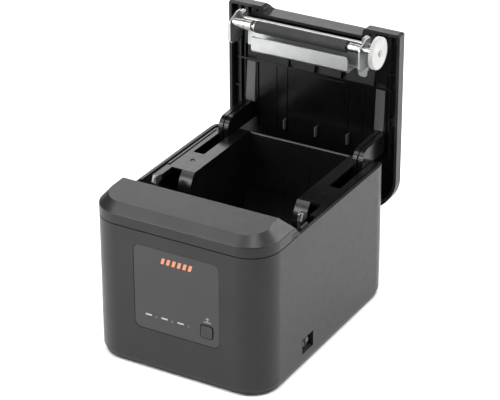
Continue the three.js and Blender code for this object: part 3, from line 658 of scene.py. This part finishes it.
def key_hole(gap):
    """Hole that clears the feed button by a gap all round."""
    x, _, z = spans("feed_button", gap)
    return prism(rounded(x, z, 1.6 + gap), (-1, 5), "Y")


def key_bezel():
    """Dull black ring that lines the hole round the feed button."""
    face = drawn("front_panel")[0].y
    behind = block((-60, 60), (face + 0.15, 3.4), (0, 100))
    return cut(keep(key_hole(0.72), behind), key_hole(0.3))


def panel_plate():
    x, y, z = spans("front_panel")
    plate = prism(rounded(x, z, 5, steps=12), y, "Y")
    holes = [key_hole(0.75)]
    for node in LIGHTS:
        x = spans(node, 0.06)[0]
        middle = centre_of(node).z
        holes.append(prism(rounded(x, (middle - 0.68, middle + 0.68), 0.5), (-1, 5), "Y"))
    return cut(plate, *holes)


def button_key():
    """Square key with a shallow dish in its face and a stem behind."""
    x, (face, back), z = spans("feed_button")
    key = prism(rounded(x, z, 1.6), (face, 3.4), "Y")
    middle = centre_of("feed_button").xz
    hollow = [(face - 1, 4.2), (face, 3.6), (face + 0.12, 2.4), (face + 0.18, 0.6)]
    stem = rod(middle, 1.6, (3, back), "Y", 32)
    return cut(join(key, stem), turned(hollow, middle, "Y"))


def light_bar(node):
    x, y, _ = spans(node)
    middle = centre_of(node).z
    return prism(rounded(x, (middle - 0.62, middle + 0.62), 0.45), y, "Y")


def flat_print(outlines, y_face):
    """Ink of several outlines, drawn (x, z), standing a hair proud of a front face."""
    return join(*(prism(points, (y_face - INK, y_face + INK), "Y") for points in outlines))


def slanted_bars():
    """The generic mark: a row of slanted bars."""
    panel = centre_of("front_panel")
    left, low, high = panel.x - 12.2, 86.5, 91
    width, pitch, slant = 2.3, 4.35, 1.4
    bars = []
    for i in range(6):
        x = left + i * pitch
        bars.append([(x, low), (x + width, low), (x + width + slant, high), (x + slant, high)])
    return bars


def feed_icon():
    """An arrow pushing up out of a slot."""
    middle = centre_of("feed_button")
    x, z = middle.x + 0.6, middle.z + 7.2
    slot = rectangle((x - 2.9, x + 2.9), (z, z + 0.8))
    arrow_stem = rectangle((x - 0.35, x + 0.35), (z + 0.6, z + 3))
    arrow_head = [(x - 1.7, z + 2.5), (x + 1.7, z + 2.5), (x, z + 4.2)]
    return [slot, arrow_stem, arrow_head]


def ring_print(centre, radius, stroke, y_face):
    outer = rod(centre, radius, (y_face - INK, y_face + INK), "Y", 32)
    return cut(outer, rod(centre, radius - stroke, (y_face - 1, y_face + 1), "Y", 32))


def build_panel():
    face = drawn("front_panel")[0].y
    piece(panel_plate(), "control_panel", "panel", "housing", ["front_panel"], 0.25, 3)
    piece(key_bezel(), "key_bezel", "matt_black", "housing", (), 0)
    piece(button_key(), "feed_key_cap", "key_plastic", "feed_key", ["feed_button"], 0.45, 3)
    for node in LIGHTS:
        piece(light_bar(node), f"{node}_guide", "light_guide", "housing", [node], 0.15)
    piece(flat_print(slanted_bars(), face), "panel_mark", "orange_ink", "housing", (), 0)
    piece(flat_print(feed_icon(), face), "feed_icon", "pale_ink", "housing", (), 0)
    for node in LIGHTS:
        spot = centre_of(node)
        icon = ring_print((spot.x + 6.2, spot.z - 0.4), 0.8, 0.25, face)
        piece(icon, f"{node}_icon", "panel_ink", "housing", (), 0)


# ---- inner frame with the paper bay --------------------
def bay_section(grow):
    """Side view of the paper bay: straight walls round a floor curved like the roll."""
    front = BAY_FRONT + BAY_WALL - grow
    rear = BAY_REAR + grow
    radius = ROLL["radius"] + grow
    reach = min(radius - 0.01, rear - ROLL["y"])
    ahead = min(radius - 0.01, ROLL["y"] - front)
    rear_angle = -math.degrees(math.acos(reach / radius))
    front_angle = -180 + math.degrees(math.acos(ahead / radius))
    floor = arc((ROLL["y"], ROLL["z"]), radius, front_angle, rear_angle, 64)
    sill = arc((rear + 1.6, DECK_TOP - 2), 1.6, 180, 90, 6)
    return [(front, DECK_TOP + 20), *floor, *sill, (rear + 1.6, DECK_TOP + 20)]


def side_deck(side):
    """Flat deck beside the bay with its curved front, hinge bearings, slot and dimple."""

    def at(span):
        return across(span, side)

    deck = block(at((BAY_HALF, 66.4)), (DECK_FRONT, 180), (DECK_TOP - BAY_WALL, DECK_TOP))
    radius, steep = 25, math.radians(48)
    crown = (DECK_FRONT + radius * math.cos(steep), DECK_TOP - radius * math.sin(steep))
    curve = arc(crown, radius, 132, 172, 12)
    curved_front = [(DECK_FRONT + 3, DECK_TOP), *curve, (curve[-1][0], 83), (DECK_FRONT + 3, 83)]
    parts = [
        block(at((BAY_HALF, 50.8)), (170, 187.6), (90, DECK_TOP - 0.5)),
        prism(curved_front, at((BAY_HALF, 52.4)), "X"),
        block(at((61.2, 66.4)), (80, DECK_FRONT + 1), (102, DECK_TOP)),
        block(at((BAY_HALF + 1, 50.8)), (162, 174.5), (72, DECK_TOP - 1)),
        block(at((61.4, 66.4)), (162, 174.5), (72, DECK_TOP - 1)),
        prism(rounded(at((64.9, 66.3)), (100, 168), 0.6), (DECK_TOP - 1, DECK_TOP + 0.7), "Z"),
    ]
    tools = [
        prism(rounded(at(SLOT_X), (126, 184), 1.2), (90, 115), "Z"),
        rod(HINGE.yz, PIN_HOLE, at((46, 70))),
        turned(
            [(DECK_TOP - 0.7, 0.5), (DECK_TOP - 0.55, 1.4), (DECK_TOP, 2.4), (DECK_TOP + 1, 2.6)],
            (side * 54, 114.5),
            "Z",
        ),
    ]
    trimmed = cut(join(deck, *parts), *tools)
    return keep(trimmed, prism(footprint(WALL + 0.6), (60, 120), "Z"))


def bay_ribs():
    """Low guide ribs round the curved floor that the roll rides on."""
    ribs = []
    for x in (-30, -10, 10, 30):
        outer = prism(bay_section(0.3), (x - 0.6, x + 0.6), "X")
        inner = prism(bay_section(-0.7), (x - 2, x + 2), "X")
        above = block((x - 3, x + 3), (60, 190), (92, 140))
        ribs.append(cut(outer, inner, above))
    return ribs


def paper_bay():
    outer_half = BAY_HALF + BAY_WALL
    trough = prism(bay_section(BAY_WALL), (-outer_half, outer_half), "X")
    rear_wall = block((-outer_half, outer_half), (BAY_REAR, 187.6), (60, DECK_TOP - 0.5))
    tub = cut(
        join(trough, rear_wall),
        prism(bay_section(0), (-BAY_HALF, BAY_HALF), "X"),
        block((-BAY_HALF, BAY_HALF), (BAY_REAR + BAY_WALL, 185.6), (50, 96)),
        block((-60, 60), (BAY_FRONT - 5, DECK_FRONT + 1), (84, 130)),
        block((-60, 60), (BAY_FRONT - 5, DEPTH), (DECK_TOP - 0.5, 130)),
    )
    whole = join(tub, *(side_deck(side) for _, side in SIDES), *bay_ribs())
    return cut(whole, swing_clearance(SEAM - HINGE.z - 0.8))


def bay_lining():
    """Thin matt black skin over the bay's walls and floor, darker and duller than the frame plastic under it:
    painted shade in the bay.
    """
    outer = prism(bay_section(-0.05), (-BAY_HALF + 0.05, BAY_HALF - 0.05), "X")
    inner = prism(bay_section(-0.35), (-BAY_HALF + 0.35, BAY_HALF - 0.35), "X")
    above = block((-60, 60), (60, 200), (DECK_TOP - 2.6, 140))
    ahead = block((-60, 60), (60, DECK_FRONT + 1.5), (83, 140))
    return cut(outer, inner, above, ahead)


def bay_sill():
    """Smooth rounded lip on top of the bay's rear wall, following the sweep of the lid. Its finish is a lighter,
    shinier copy of the bay's black plastic: a painted highlight along the lip.
    """
    radius = SEAM - HINGE.z - 0.9
    start, end = (math.degrees(math.acos((y - HINGE.y) / radius)) for y in (BAY_REAR + 0.6, 183))
    nose = (BAY_REAR + 1.7, HINGE.z + radius * math.sin(math.radians(start)) - 1.5)
    outline = arc(nose, 1.5, 200, 110, 8) + arc(HINGE.yz, radius, start - 2, end, 16)
    outline += arc(HINGE.yz, radius - 2, end, start - 4, 8)
    return prism(outline, (-BAY_HALF + 0.2, BAY_HALF - 0.2), "X")


def build_bay():
    piece(paper_bay(), "paper_bay", "black_plastic", "housing", ["inner_frame"], 0.35)
    # near-black matt skin over the bay: painted shade
    piece(bay_lining(), "bay_lining", "matt_black", "housing", (), 0)
    # lighter glossy lip: painted highlight along the bay's rear edge
    piece(bay_sill(), "bay_sill", "gloss_black", "housing", (), 0)


# ---- power switch --------------------------------------
def switch_housing():
    x, y, z = spans("power_switch_body")
    well = block((60, 80), *spans("power_switch_body", -1.2)[1:])
    return cut(block((x[0], x[1] - 1.4), y, z), well)


def rocker_turn():
    """Places a rocker drawn about its own pivot at the frame's pivot and rest tilt."""
    pivot = next(j["pos_m"] for j in frame["joints"] if j["name"] == "power_rocker_tilt")
    spot = ON_BODY.inverted() @ Vector(pivot)
    return Matrix.Translation(spot) @ Matrix.Rotation(math.radians(ROCKER_TILT), 4, "Z")


def rocker():
    corners = [
        (0, -6.1, 0.4),
        (2.1, -6.1, 0.5),
        (1.1, 0, 6),
        (2.1, 6.1, 0.5),
        (0, 6.1, 0.4),
    ]
    face = prism(filleted(corners), (-4.1, 4.1), "Z")
    return join(face, rod((0, 0), 2, (-4.1, 4.1), "Z", 32))


def rocker_marks():
    """A bar and a ring, printed on the rocker's two slopes."""
    slope = math.atan2(1.0, 6.1)
    bar = block((-0.05, 0.05), (-0.3, 0.3), (-1.6, 1.6))
    bar.data.transform(Matrix.Translation((1.72, -3.6, 0)) @ Matrix.Rotation(slope, 4, "Z"))
    ring = cut(rod((0, 0), 1.5, (-0.05, 0.05)), rod((0, 0), 1.05, (-1, 1)))
    ring.data.transform(Matrix.Translation((1.72, 3.6, 0)) @ Matrix.Rotation(-slope, 4, "Z"))
    return join(bar, ring)


def build_switch():
    piece(switch_housing(), "switch_frame", "black_plastic", "housing", ["power_switch_body"], 0.3)
    cap, marks = rocker(), rocker_marks()
    for obj in (cap, marks):
        obj.data.transform(rocker_turn())
    piece(cap, "rocker_cap", "black_plastic", "power_key", ["power_rocker"])
    piece(marks, "rocker_marks", "white_ink", "power_key", (), 0)


# ---- latch ---------------------------------------------
def latch_hook(side):
    low = drawn("left_latch_hook")[0]
    y, z = low.y + 4, low.z + 4
    corners = [
        (y - 4, z - 4, 2.5),
        (y + 4, z - 4, 2.5),
        (y + 4, z + 6, 2),
        (y + 2.4, z + 34, 1),
        (y + 6.6, z + 36, 0.8),
        (y + 6.6, z + 39.5, 1),
        (y - 1, z + 41, 1),
        (y - 3, z + 6, 2),
    ]
    plate = prism(filleted(corners), across((57.6, 59), side), "X")
    wedge = [
        (y - 1.5, z + 35.5, 0.3),
        (y + 6.4, z + 35.5, 0.6),
        (y + 6.4, z + 40, 0.8),
        (y + 1, z + 41, 0.6),
    ]
    head = prism(filleted(wedge), across((57.3, 61), side), "X")
    return cut(join(plate, head), rod((y, z), 2.3, ALL_X))


def build_latch():
    for hand, side in SIDES:
        node = f"{hand}_latch_hook"
        piece(latch_hook(side), f"{node}_plate", "hook_metal", "latch", [node], 0.2)


# ---- lid -----------------------------------------------
RECESS = {"half": 40.5, "depth": 6}
LINER_LOW, LINER_HIGH = 113.3, 115.1


def lid_plan(inset, z_span):
    """Plan of the lid: square front horns beside the paper recess, round rear corners."""
    half, recess = HALF_WIDTH - inset, RECESS["half"] + inset
    front, back = LID_FRONT + inset, LID_FRONT + RECESS["depth"] + inset
    tight, wide = max(2.4 - inset, 0.5), max(3.4 - inset, 0.6)
    corners = [
        (-half, front, tight),
        (-recess, front, wide),
        (-recess, back, 2 + inset * 0.5),
        (recess, back, 2 + inset * 0.5),
        (recess, front, wide),
        (half, front, tight),
        (half, DEPTH - inset, 0),
        (-half, DEPTH - inset, 0),
    ]
    outline = prism(filleted(corners, 10), z_span, "Z")
    rear = block((-90, 90), (DEPTH / 2, DEPTH + 5), (z_span[0] - 1, z_span[1] + 1))
    round_rear = prism(footprint(inset), (z_span[0] - 2, z_span[1] + 2), "Z")
    return cut(outline, cut(rear, round_rear))


def lid_front_bevel(shift):
    corners = [
        (LID_FRONT - 5, 80, 0),
        (DEPTH + 5, 80, 0),
        (DEPTH + 5, TOP + 5, 0),
        (LID_FRONT + 9 + shift, TOP + 5, 0),
        (LID_FRONT + 9 + shift, TOP, 0),
        (LID_FRONT + shift, BEVEL_START, 4),
        (LID_FRONT - 5, BEVEL_START - 5, 0),
    ]
    return prism(filleted(corners, 8), ALL_X, "X")


def lid_cover():
    bottom = SEAM - 3.4
    outside = keep(dome(bottom, 0), lid_plan(0, (80, 140)), lid_front_bevel(0))
    inside = keep(
        dome(bottom - 5, LID_SKIN), lid_plan(LID_SKIN, (80, 140)), lid_front_bevel(LID_SKIN)
    )
    under_rim = block(ALL_X, (-5, HINGE.y), (60, SEAM))
    arc_end = rod(HINGE.yz, SEAM - HINGE.z, PAST_ALL_X, steps=128)
    pads = []
    for _, side in SIDES:
        pad = block(across((41.6, 51.2), side), (51, 58), (SEAM + 0.2, BEVEL_START + 1))
        pads.append(cut(pad, rod((side * 46.4, 53.4), 1, (100, 112), "Z", 24)))
    return join(cut(outside, inside, under_rim, arc_end), *pads)


def ramp(x, y, z):
    """Wedge on the liner that rises from z[0] at y[0] to z[1] at y[1]."""
    foot = LINER_LOW + 0.4
    return prism([(y[0], foot), (y[0], z[0]), (y[1], z[1]), (y[1], foot)], x, "X")


def lid_lining():
    """Black inner moulding of the lid, with its ribs, ramps and raised middle panel."""
    tray = lid_plan(LID_SKIN + 0.5, (LINER_LOW, LINER_HIGH))
    foot = LINER_LOW + 0.5
    low = 110.5
    parts = [block((-64.5, 64.5), (94, 95.4), (low, foot))]
    for _, side in SIDES:
        strip = across((61.6, 62.6), side)
        parts.append(block(strip, (53, 150), (low, foot)))
        parts.append(block(across((55.4, 56.2), side), (53, 58), (low, foot)))
        for y in (71.5, 82, 117.5, 140):
            parts.append(block(across((62, 67), side), (y, y + 0.9), (low + 0.4, foot)))
        parts.append(block(across((48.4, 49.4), side), (96, 150), (low + 1.6, foot)))
        parts.append(block(across((58.4, 59.2), side), (84, 130), (low + 0.8, foot)))
    for x0, x1 in ((-49, -22), (-18, 0), (4, 22), (26, 49)):
        parts.append(ramp((x0, x1), (83, 94.4), (113, 110.9)))
    for x in (-33, -24, 27, 39):
        parts.append(block((x - 0.4, x + 0.4), (95, 150), (low + 2.1, foot)))
    parts.append(block((-22, 24), (98, 120), (LINER_LOW - 0.6, foot)))
    return join(tray, *parts)


def hinge_arm(side):
    """Arm with a round front corner and a fine groove that runs round it between two cheeks."""
    y, z = HINGE.y, HINGE.z
    rise = LINER_LOW - 0.3 - z

    def outline(inset):
        corners = [
            (y + 7, z, 0),
            (y + 4, z + 6, 2),
            (y - 25, z + 8, 3),
            (y - 25, z + rise, 0),
            (y - 40 + inset, z + rise, 0),
            (y - 38.5 + inset, z - 7 + inset, 9 - inset),
            (y, z - 7 + inset, 0),
        ]
        return filleted(corners, 10) + arc((y, z), 7 - inset, -80, -10, 12)

    outer = prism(outline(0), across((52, 60.2), side), "X")
    groove = cut(
        prism(outline(-2), across((55.4, 56.6), side), "X"),
        prism(outline(1.1), across((54, 58), side), "X"),
        block(ALL_X, (y - 100, y + 20), (z + rise - 1, z + 60)),
    )
    return cut(outer, groove, rod((y, z), PIN_HOLE, ALL_X))


def lid_channels():
    """Smooth ramps that run down beside the lid's middle panel, and three short fins below it."""
    ramps = [ramp(across((50.2, 57.8), side), (97, 129), (112.4, 110.4)) for _, side in SIDES]
    fins = [
        prism(rounded((x - 0.6, x + 0.6), (138, 146), 0.5), (LINER_LOW - 3.6, LINER_LOW + 0.5), "Z")
        for x in (-25, 1.5, 28)
    ]
    return join(*ramps, *fins)


def build_lid():
    piece(lid_cover(), "lid_cover", "casing", "lid", ["lid_shell"], 0.35, 3)
    piece(lid_lining(), "lid_lining", "black_plastic", "lid", ["lid_liner"], 0.35, 3)
    piece(lid_channels(), "lid_channels", "channel_plastic", "lid", (), 0.3)
    for hand, side in SIDES:
        name = f"{hand}_hinge_arm"
        piece(hinge_arm(side), f"{name}_channel", "black_plastic", "lid", [name], 0.5, 3)


# ---- platen unit ---------------------------------------
EARS = {"left": {"inner": 54.5, "flange": 1.3}, "right": {"inner": 50.3, "flange": 0.2}}
EAR_FRONT = 82.4
LIP = {"half": 39.6, "y": (65, 77), "z": 86.8}


def bracket_ear(hand, side):
    inner, flange = EARS[hand]["inner"], EARS[hand]["flange"]
    tab = LINER_LOW - 0.3
    corners = [
        (55, EAR_FRONT, 1.5),
        (70, EAR_FRONT, 1),
        (73, EAR_FRONT + 4, 2),
        (73, 99, 1),
        (68, 101, 1),
        (68, tab, 0),
        (58, tab, 0),
        (58, 100.5, 1),
        (50.3, 100.5, 2.5),
        (50.3, 93, 2.5),
    ]
    plate = prism(filleted(corners), across((inner, inner + SHEET), side), "X")
    reach = across((inner, inner + SHEET + flange), side)
    return join(plate, prism(rounded(reach, (56, 70), 0.3), (EAR_FRONT, EAR_FRONT + SHEET), "Z"))


def rod_lug(hand, side):
    """Block with a round top that holds one end of the guide rod."""
    inner = EARS[hand]["inner"]
    x = across((inner - 3.6, inner + 0.4), side)
    return prism(rounded(x, (50.4, 60.4), 1.5, 0.3), (95, 99.8), "Z")


def lip_trims():
    """What is cut off the lip's four corners to round them."""
    half, (low_y, high_y), z = LIP["half"], LIP["y"], LIP["z"]
    trims = []
    for _, side in SIDES:
        for radius, inward, end in ((1.6, 1, low_y), (2.6, -1, high_y)):
            centre = (side * (half - radius), end + inward * radius)
            y = sorted((centre[1], end - inward))
            corner = block(across((half - radius, half + 1), side), y, (z - 1, z + 2))
            trims.append(cut(corner, rod(centre, radius, (z - 2, z + 3), "Z")))
    return trims


def platen_channel():
    """Folded sheet behind the roller, with a round-ended lip in front and two bearing ears."""
    span = (-EARS["left"]["inner"] - 0.5, EARS["right"]["inner"] + 0.5)
    half, (lip_low, lip_high), z = LIP["half"], LIP["y"], LIP["z"]
    fold = [
        (59.5, 98.6 + SHEET, 0),
        (59.5, 98.6, 0),
        (lip_high - SHEET, 98.6, 0.6),
        (lip_high - SHEET, z + SHEET, 0.8),
        (lip_low, z + SHEET, 0),
        (lip_low, z, 0),
        (lip_high, z, 2),
        (lip_high, 98.6 + SHEET, 1.8),
    ]
    folded = prism(filleted(fold, 8), (-half, half), "X")
    back = block(span, (59.5, lip_high), (98.6, 98.6 + SHEET))
    trims = [
        *lip_trims(),
        block((span[0] - 1, -48.8), (66, 80), (98, 101)),
        rod((-43.6, 72.8), 3, (90, 105), "Z"),
        rod((46.4, 71), 2.2, (90, 105), "Z"),
    ]
    tab = prism(rounded((42.5, 49.5), (74, 82.5), 0.5, 2), (98.6, 98.6 + SHEET), "Z")
    ears = [bracket_ear(hand, side) for hand, side in SIDES]
    lugs = [rod_lug(hand, side) for hand, side in SIDES]
    sheet = cut(join(folded, back, tab), *trims)
    return cut(
        join(sheet, *ears, *lugs),
        rod(PLATEN, SHAFT_RADIUS + 0.6, ALL_X),
        rod(centre_of("guide_rod").yz, 1.55, ALL_X),
    )


def shaft_stations(low, high, radius, grooves=()):
    """Stations of a ground shaft with chamfered ends and clip grooves."""
    chamfer = 0.5
    stations = [(low, radius - chamfer), (low + chamfer, radius)]
    for at in grooves:
        stations += [(at, radius), (at, radius - 0.35), (at + 0.8, radius - 0.35), (at + 0.8, radius)]
    return stations + [(high - chamfer, radius), (high, radius - chamfer)]


def steel_rod():
    low, high = drawn("guide_rod")
    stations = shaft_stations(low.x, high.x, 1.5, (low.x + 1, high.x - 1.8))
    return turned(stations, centre_of("guide_rod").yz)


def roller_shaft():
    low, high = drawn("platen_shaft")
    radius = SHAFT_RADIUS
    stations = shaft_stations(low.x, high.x, radius, (low.x + 0.6, 53))
    collar_end = drawn("platen_roller")[0].x - 0.05
    collar = [
        (collar_end - 1.6, radius),
        (collar_end - 1.6, 3.1),
        (collar_end - 1.3, 3.4),
        (collar_end, 3.4),
        (collar_end, radius),
    ]
    split = next(i for i, station in enumerate(stations) if station[0] > collar_end)
    return turned(stations[:split] + collar + stations[split:], PLATEN)


def rubber_sleeve():
    """Roller with eased ends."""
    low, high = drawn("platen_roller")
    radius = (high.y - low.y) / 2
    bore = SHAFT_RADIUS + 0.02
    ease = 0.35
    ends = ((0, ease), (ease * 0.3, ease * 0.3), (ease, 0))
    stations = [(low.x, bore), *((low.x + along, radius - drop) for along, drop in ends)]
    stations += [(high.x - along, radius - drop) for along, drop in reversed(ends)]
    stations.append((high.x, bore))
    return turned(stations, PLATEN, steps=96, looped=True)


def bush(hand, side):
    """Flanged bearing bush on the platen shaft."""
    low, high = drawn(f"{hand}_platen_bush")
    inner, outer = sorted((abs(low.x), abs(high.x)))
    bore = SHAFT_RADIUS + 0.15
    stations = [
        (inner, bore),
        (inner, 3.1),
        (inner + 0.3, 3.4),
        (44.2, 3.4),
        (44.2, 3.0),
        (44.9, 3.0),
        (44.9, 3.4),
        (48.2, 3.4),
        (48.5, 3.1),
        (outer, 3.1),
        (outer, bore),
    ]
    mirrored = [(side * along, radius) for along, radius in stations]
    return turned(mirrored, PLATEN, looped=True)


def clip():
    """Spring clip with its open mouth downwards."""
    low, high = drawn("shaft_clip")
    past = (low.x - 1, high.x + 1)
    y, z = PLATEN
    mouth = [(y - 1.2, z), (y - 2.2, z - 6), (y + 2.2, z - 6), (y + 1.2, z)]
    disc = rod(PLATEN, 4, (low.x, high.x))
    return cut(disc, rod(PLATEN, 1.95, past), prism(mouth, past, "X"))


def tooth_outline(centre, teeth, phase):
    """Spur gear outline with curved flanks; a tooth points along the phase."""
    flank = ((-1.15, 0.36), (-0.7, 0.31), (0, 0.25), (0.5, 0.185), (0.9, 0.11))
    tooth = [(height, -offset) for height, offset in flank] + list(reversed(flank))
    points = []
    for i in range(teeth):
        for height, offset in tooth:
            angle = phase + (i + offset) * 2 * math.pi / teeth
            radius = GEAR["module"] * (teeth / 2 + height)
            points.append((centre[0] + radius * math.cos(angle), centre[1] + radius * math.sin(angle)))
    return points


def gear_phase(node, centre, teeth):
    """Angle of a tooth tip of a CAD gear, so that the fine gear meshes where it does."""
    back = (ON_LID if node in LID_NODES else ON_BODY).inverted()
    spots = [back @ vertex.co for vertex in frame["nodes"][node].data.vertices]
    offsets = [spot.yz - centre for spot in spots]
    reach = max(offset.length for offset in offsets)
    tips = [math.atan2(tip.y, tip.x) * teeth for tip in offsets if tip.length > reach - 0.01]
    return math.atan2(sum(map(math.sin, tips)), sum(map(math.cos, tips))) / teeth


def feed_gear(node, teeth, bore, hub):
    """Moulded gear with a dished web on its inner face round a raised hub."""
    centre = centre_of(node).yz
    outline = tooth_outline(centre, teeth, gear_phase(node, centre, teeth))
    x = GEAR["face"][0]
    rim = teeth * GEAR["module"] / 2 - 2.2
    stations = [(x + 0.8, hub), (x + 0.8, rim - 0.3), (x - 1, rim), (x - 1, hub)]
    dish = turned(stations, centre, looped=True)
    return cut(prism(outline, GEAR["face"], "X"), dish, rod(centre, bore, (50, 80)))


def build_platen():
    piece(platen_channel(), "platen_channel", "steel", "lid", ["platen_bracket"], 0.18)
    piece(steel_rod(), "bright_guide_rod", "ground_steel", "lid", ["guide_rod"], 0)
    for hand, side in SIDES:
        node = f"{hand}_platen_bush"
        piece(bush(hand, side), f"{node}_sleeve", "ground_steel", "lid", [node], 0)
    piece(roller_shaft(), "roller_shaft", "ground_steel", "platen", ["platen_shaft"], 0)
    piece(rubber_sleeve(), "rubber_sleeve", "rubber", "platen", ["platen_roller"], 0)
    piece(clip(), "spring_clip", "blackened_steel", "platen", ["shaft_clip"], 0.08)
    wheel = feed_gear("platen_gear", 46, SHAFT_RADIUS + 0.02, 3.6)
    piece(wheel, "feed_gear", "white_plastic", "platen", ["platen_gear"], 0.08)
    wheel = feed_gear("idler_gear", 36, 1.52, 3)
    piece(wheel, "idler_wheel", "white_plastic", "idler", ["idler_gear"], 0.08)


# ---- everything together -------------------------------
def dress_frame_nodes():
    """Gives each CAD node its slot's finish, and eases its edges where it stays in view."""
    for entry in frame["record"]["subparts"]:
        node = frame["nodes"][entry["node"]]
        node.data.materials.clear()
        node.data.materials.append(FINISHES[entry["material_slot"]])
        if node.hide_render:
            continue
        weld = node.modifiers.new("weld", "WELD")
        weld.merge_threshold = 0.000004
        flat = node.modifiers.new("flat", "DECIMATE")
        flat.decimate_type = "DISSOLVE"
        flat.angle_limit = math.radians(0.5)
        edges = node.modifiers.new("edges", "BEVEL")
        edges.width = 0.0002
        edges.segments = 2
        edges.limit_method = "ANGLE"
        edges.angle_limit = math.radians(40)


# ---- studio --------------------------------------------
def softbox(name, place, aim, size, power, turn=0):
    """Rectangular area light at a place in metres, facing its aim, turned about that line."""
    data = bpy.data.lights.new(name, "AREA")
    data.shape = "RECTANGLE"
    data.size, data.size_y = size
    data.energy = power
    obj = bpy.data.objects.new(name, data)
    obj.location = place
    facing = (Vector(place) - Vector(aim)).to_track_quat("Z", "Y").to_matrix()
    obj.rotation_euler = (facing @ Matrix.Rotation(math.radians(turn), 3, "Z")).to_euler()
    bpy.context.scene.collection.objects.link(obj)


def build_studio():
    floor = block((-6, 6), (-6, 6), (-0.02, -0.0002))
    floor.name = "floor"
    paper = Finish("floor", 0.7)
    paper.colour(paper.noise(3, 2), (0.74, 0.74, 0.74), (0.76, 0.76, 0.76))
    floor.data.materials.append(paper.material)
    world = bpy.data.worlds.new("studio")
    world.use_nodes = True
    background = world.node_tree.nodes["Background"].inputs
    background["Color"].default_value = (1, 1, 1, 1)
    background["Strength"].default_value = 0.1
    bpy.context.scene.world = world
    middle = (0, 0, 0.1)
    softbox("overhead", (0, 0.3, 1.7), middle, (1.2, 1.0), 6)
    softbox("front_top", (-0.04, -0.53, 1.5), middle, (1.9, 0.7), 29, turn=19.5)
    softbox("front_left", (-0.75, -1.1, 0.85), middle, (0.7, 0.5), 5)
    softbox("front_strip", (-0.68, -1.32, 0.32), middle, (0.8, 0.12), 7)
    softbox("right_back", (1.3, 0.1, 0.7), middle, (0.6, 0.6), 9)
    softbox("corner_top", (0.4, -0.36, 1.2), middle, (0.5, 0.3), 9, turn=45)
    softbox("back_left", (-0.75, 1.02, 0.95), middle, (0.8, 0.7), 7)
    softbox("front_glow", (-0.45, -0.75, 0.5), (-0.4, -0.65, 0), (0.5, 0.4), 7)
    softbox("right_glow", (0.6, 0.55, 0.5), (0.55, 0.5, 0), (0.5, 0.4), 8)


def build_camera():
    """Camera at the reference viewing angle, aimed from the frame's own middle."""
    azimuth, elevation, roll = math.radians(29.98), math.radians(27.29), math.radians(-0.23)
    distance, focal_length = 1.5902, 160.7
    low, high = cad_bounds
    aim = (low + high) / 2 + Vector((0.0023, -0.0067, -0.0073))
    level = math.cos(elevation)
    back = Vector((math.sin(azimuth) * level, -math.cos(azimuth) * level, math.sin(elevation)))
    data = bpy.data.cameras.new("camera")
    data.lens = focal_length
    data.sensor_width = 36
    camera = bpy.data.objects.new("camera", data)
    camera.rotation_mode = "QUATERNION"
    camera.location = aim + back * distance
    facing = (-back).to_track_quat("-Z", "Y")
    camera.rotation_quaternion = facing @ Matrix.Rotation(roll, 3, "Z").to_quaternion()
    bpy.context.scene.collection.objects.link(camera)
    bpy.context.scene.camera = camera


build_camera()
build_studio()
build_housing()
build_cap()
build_panel()
build_bay()
build_switch()
build_latch()
build_lid()
build_platen()
dress_frame_nodes()
bpy.context.scene.view_settings.view_transform = "Standard"
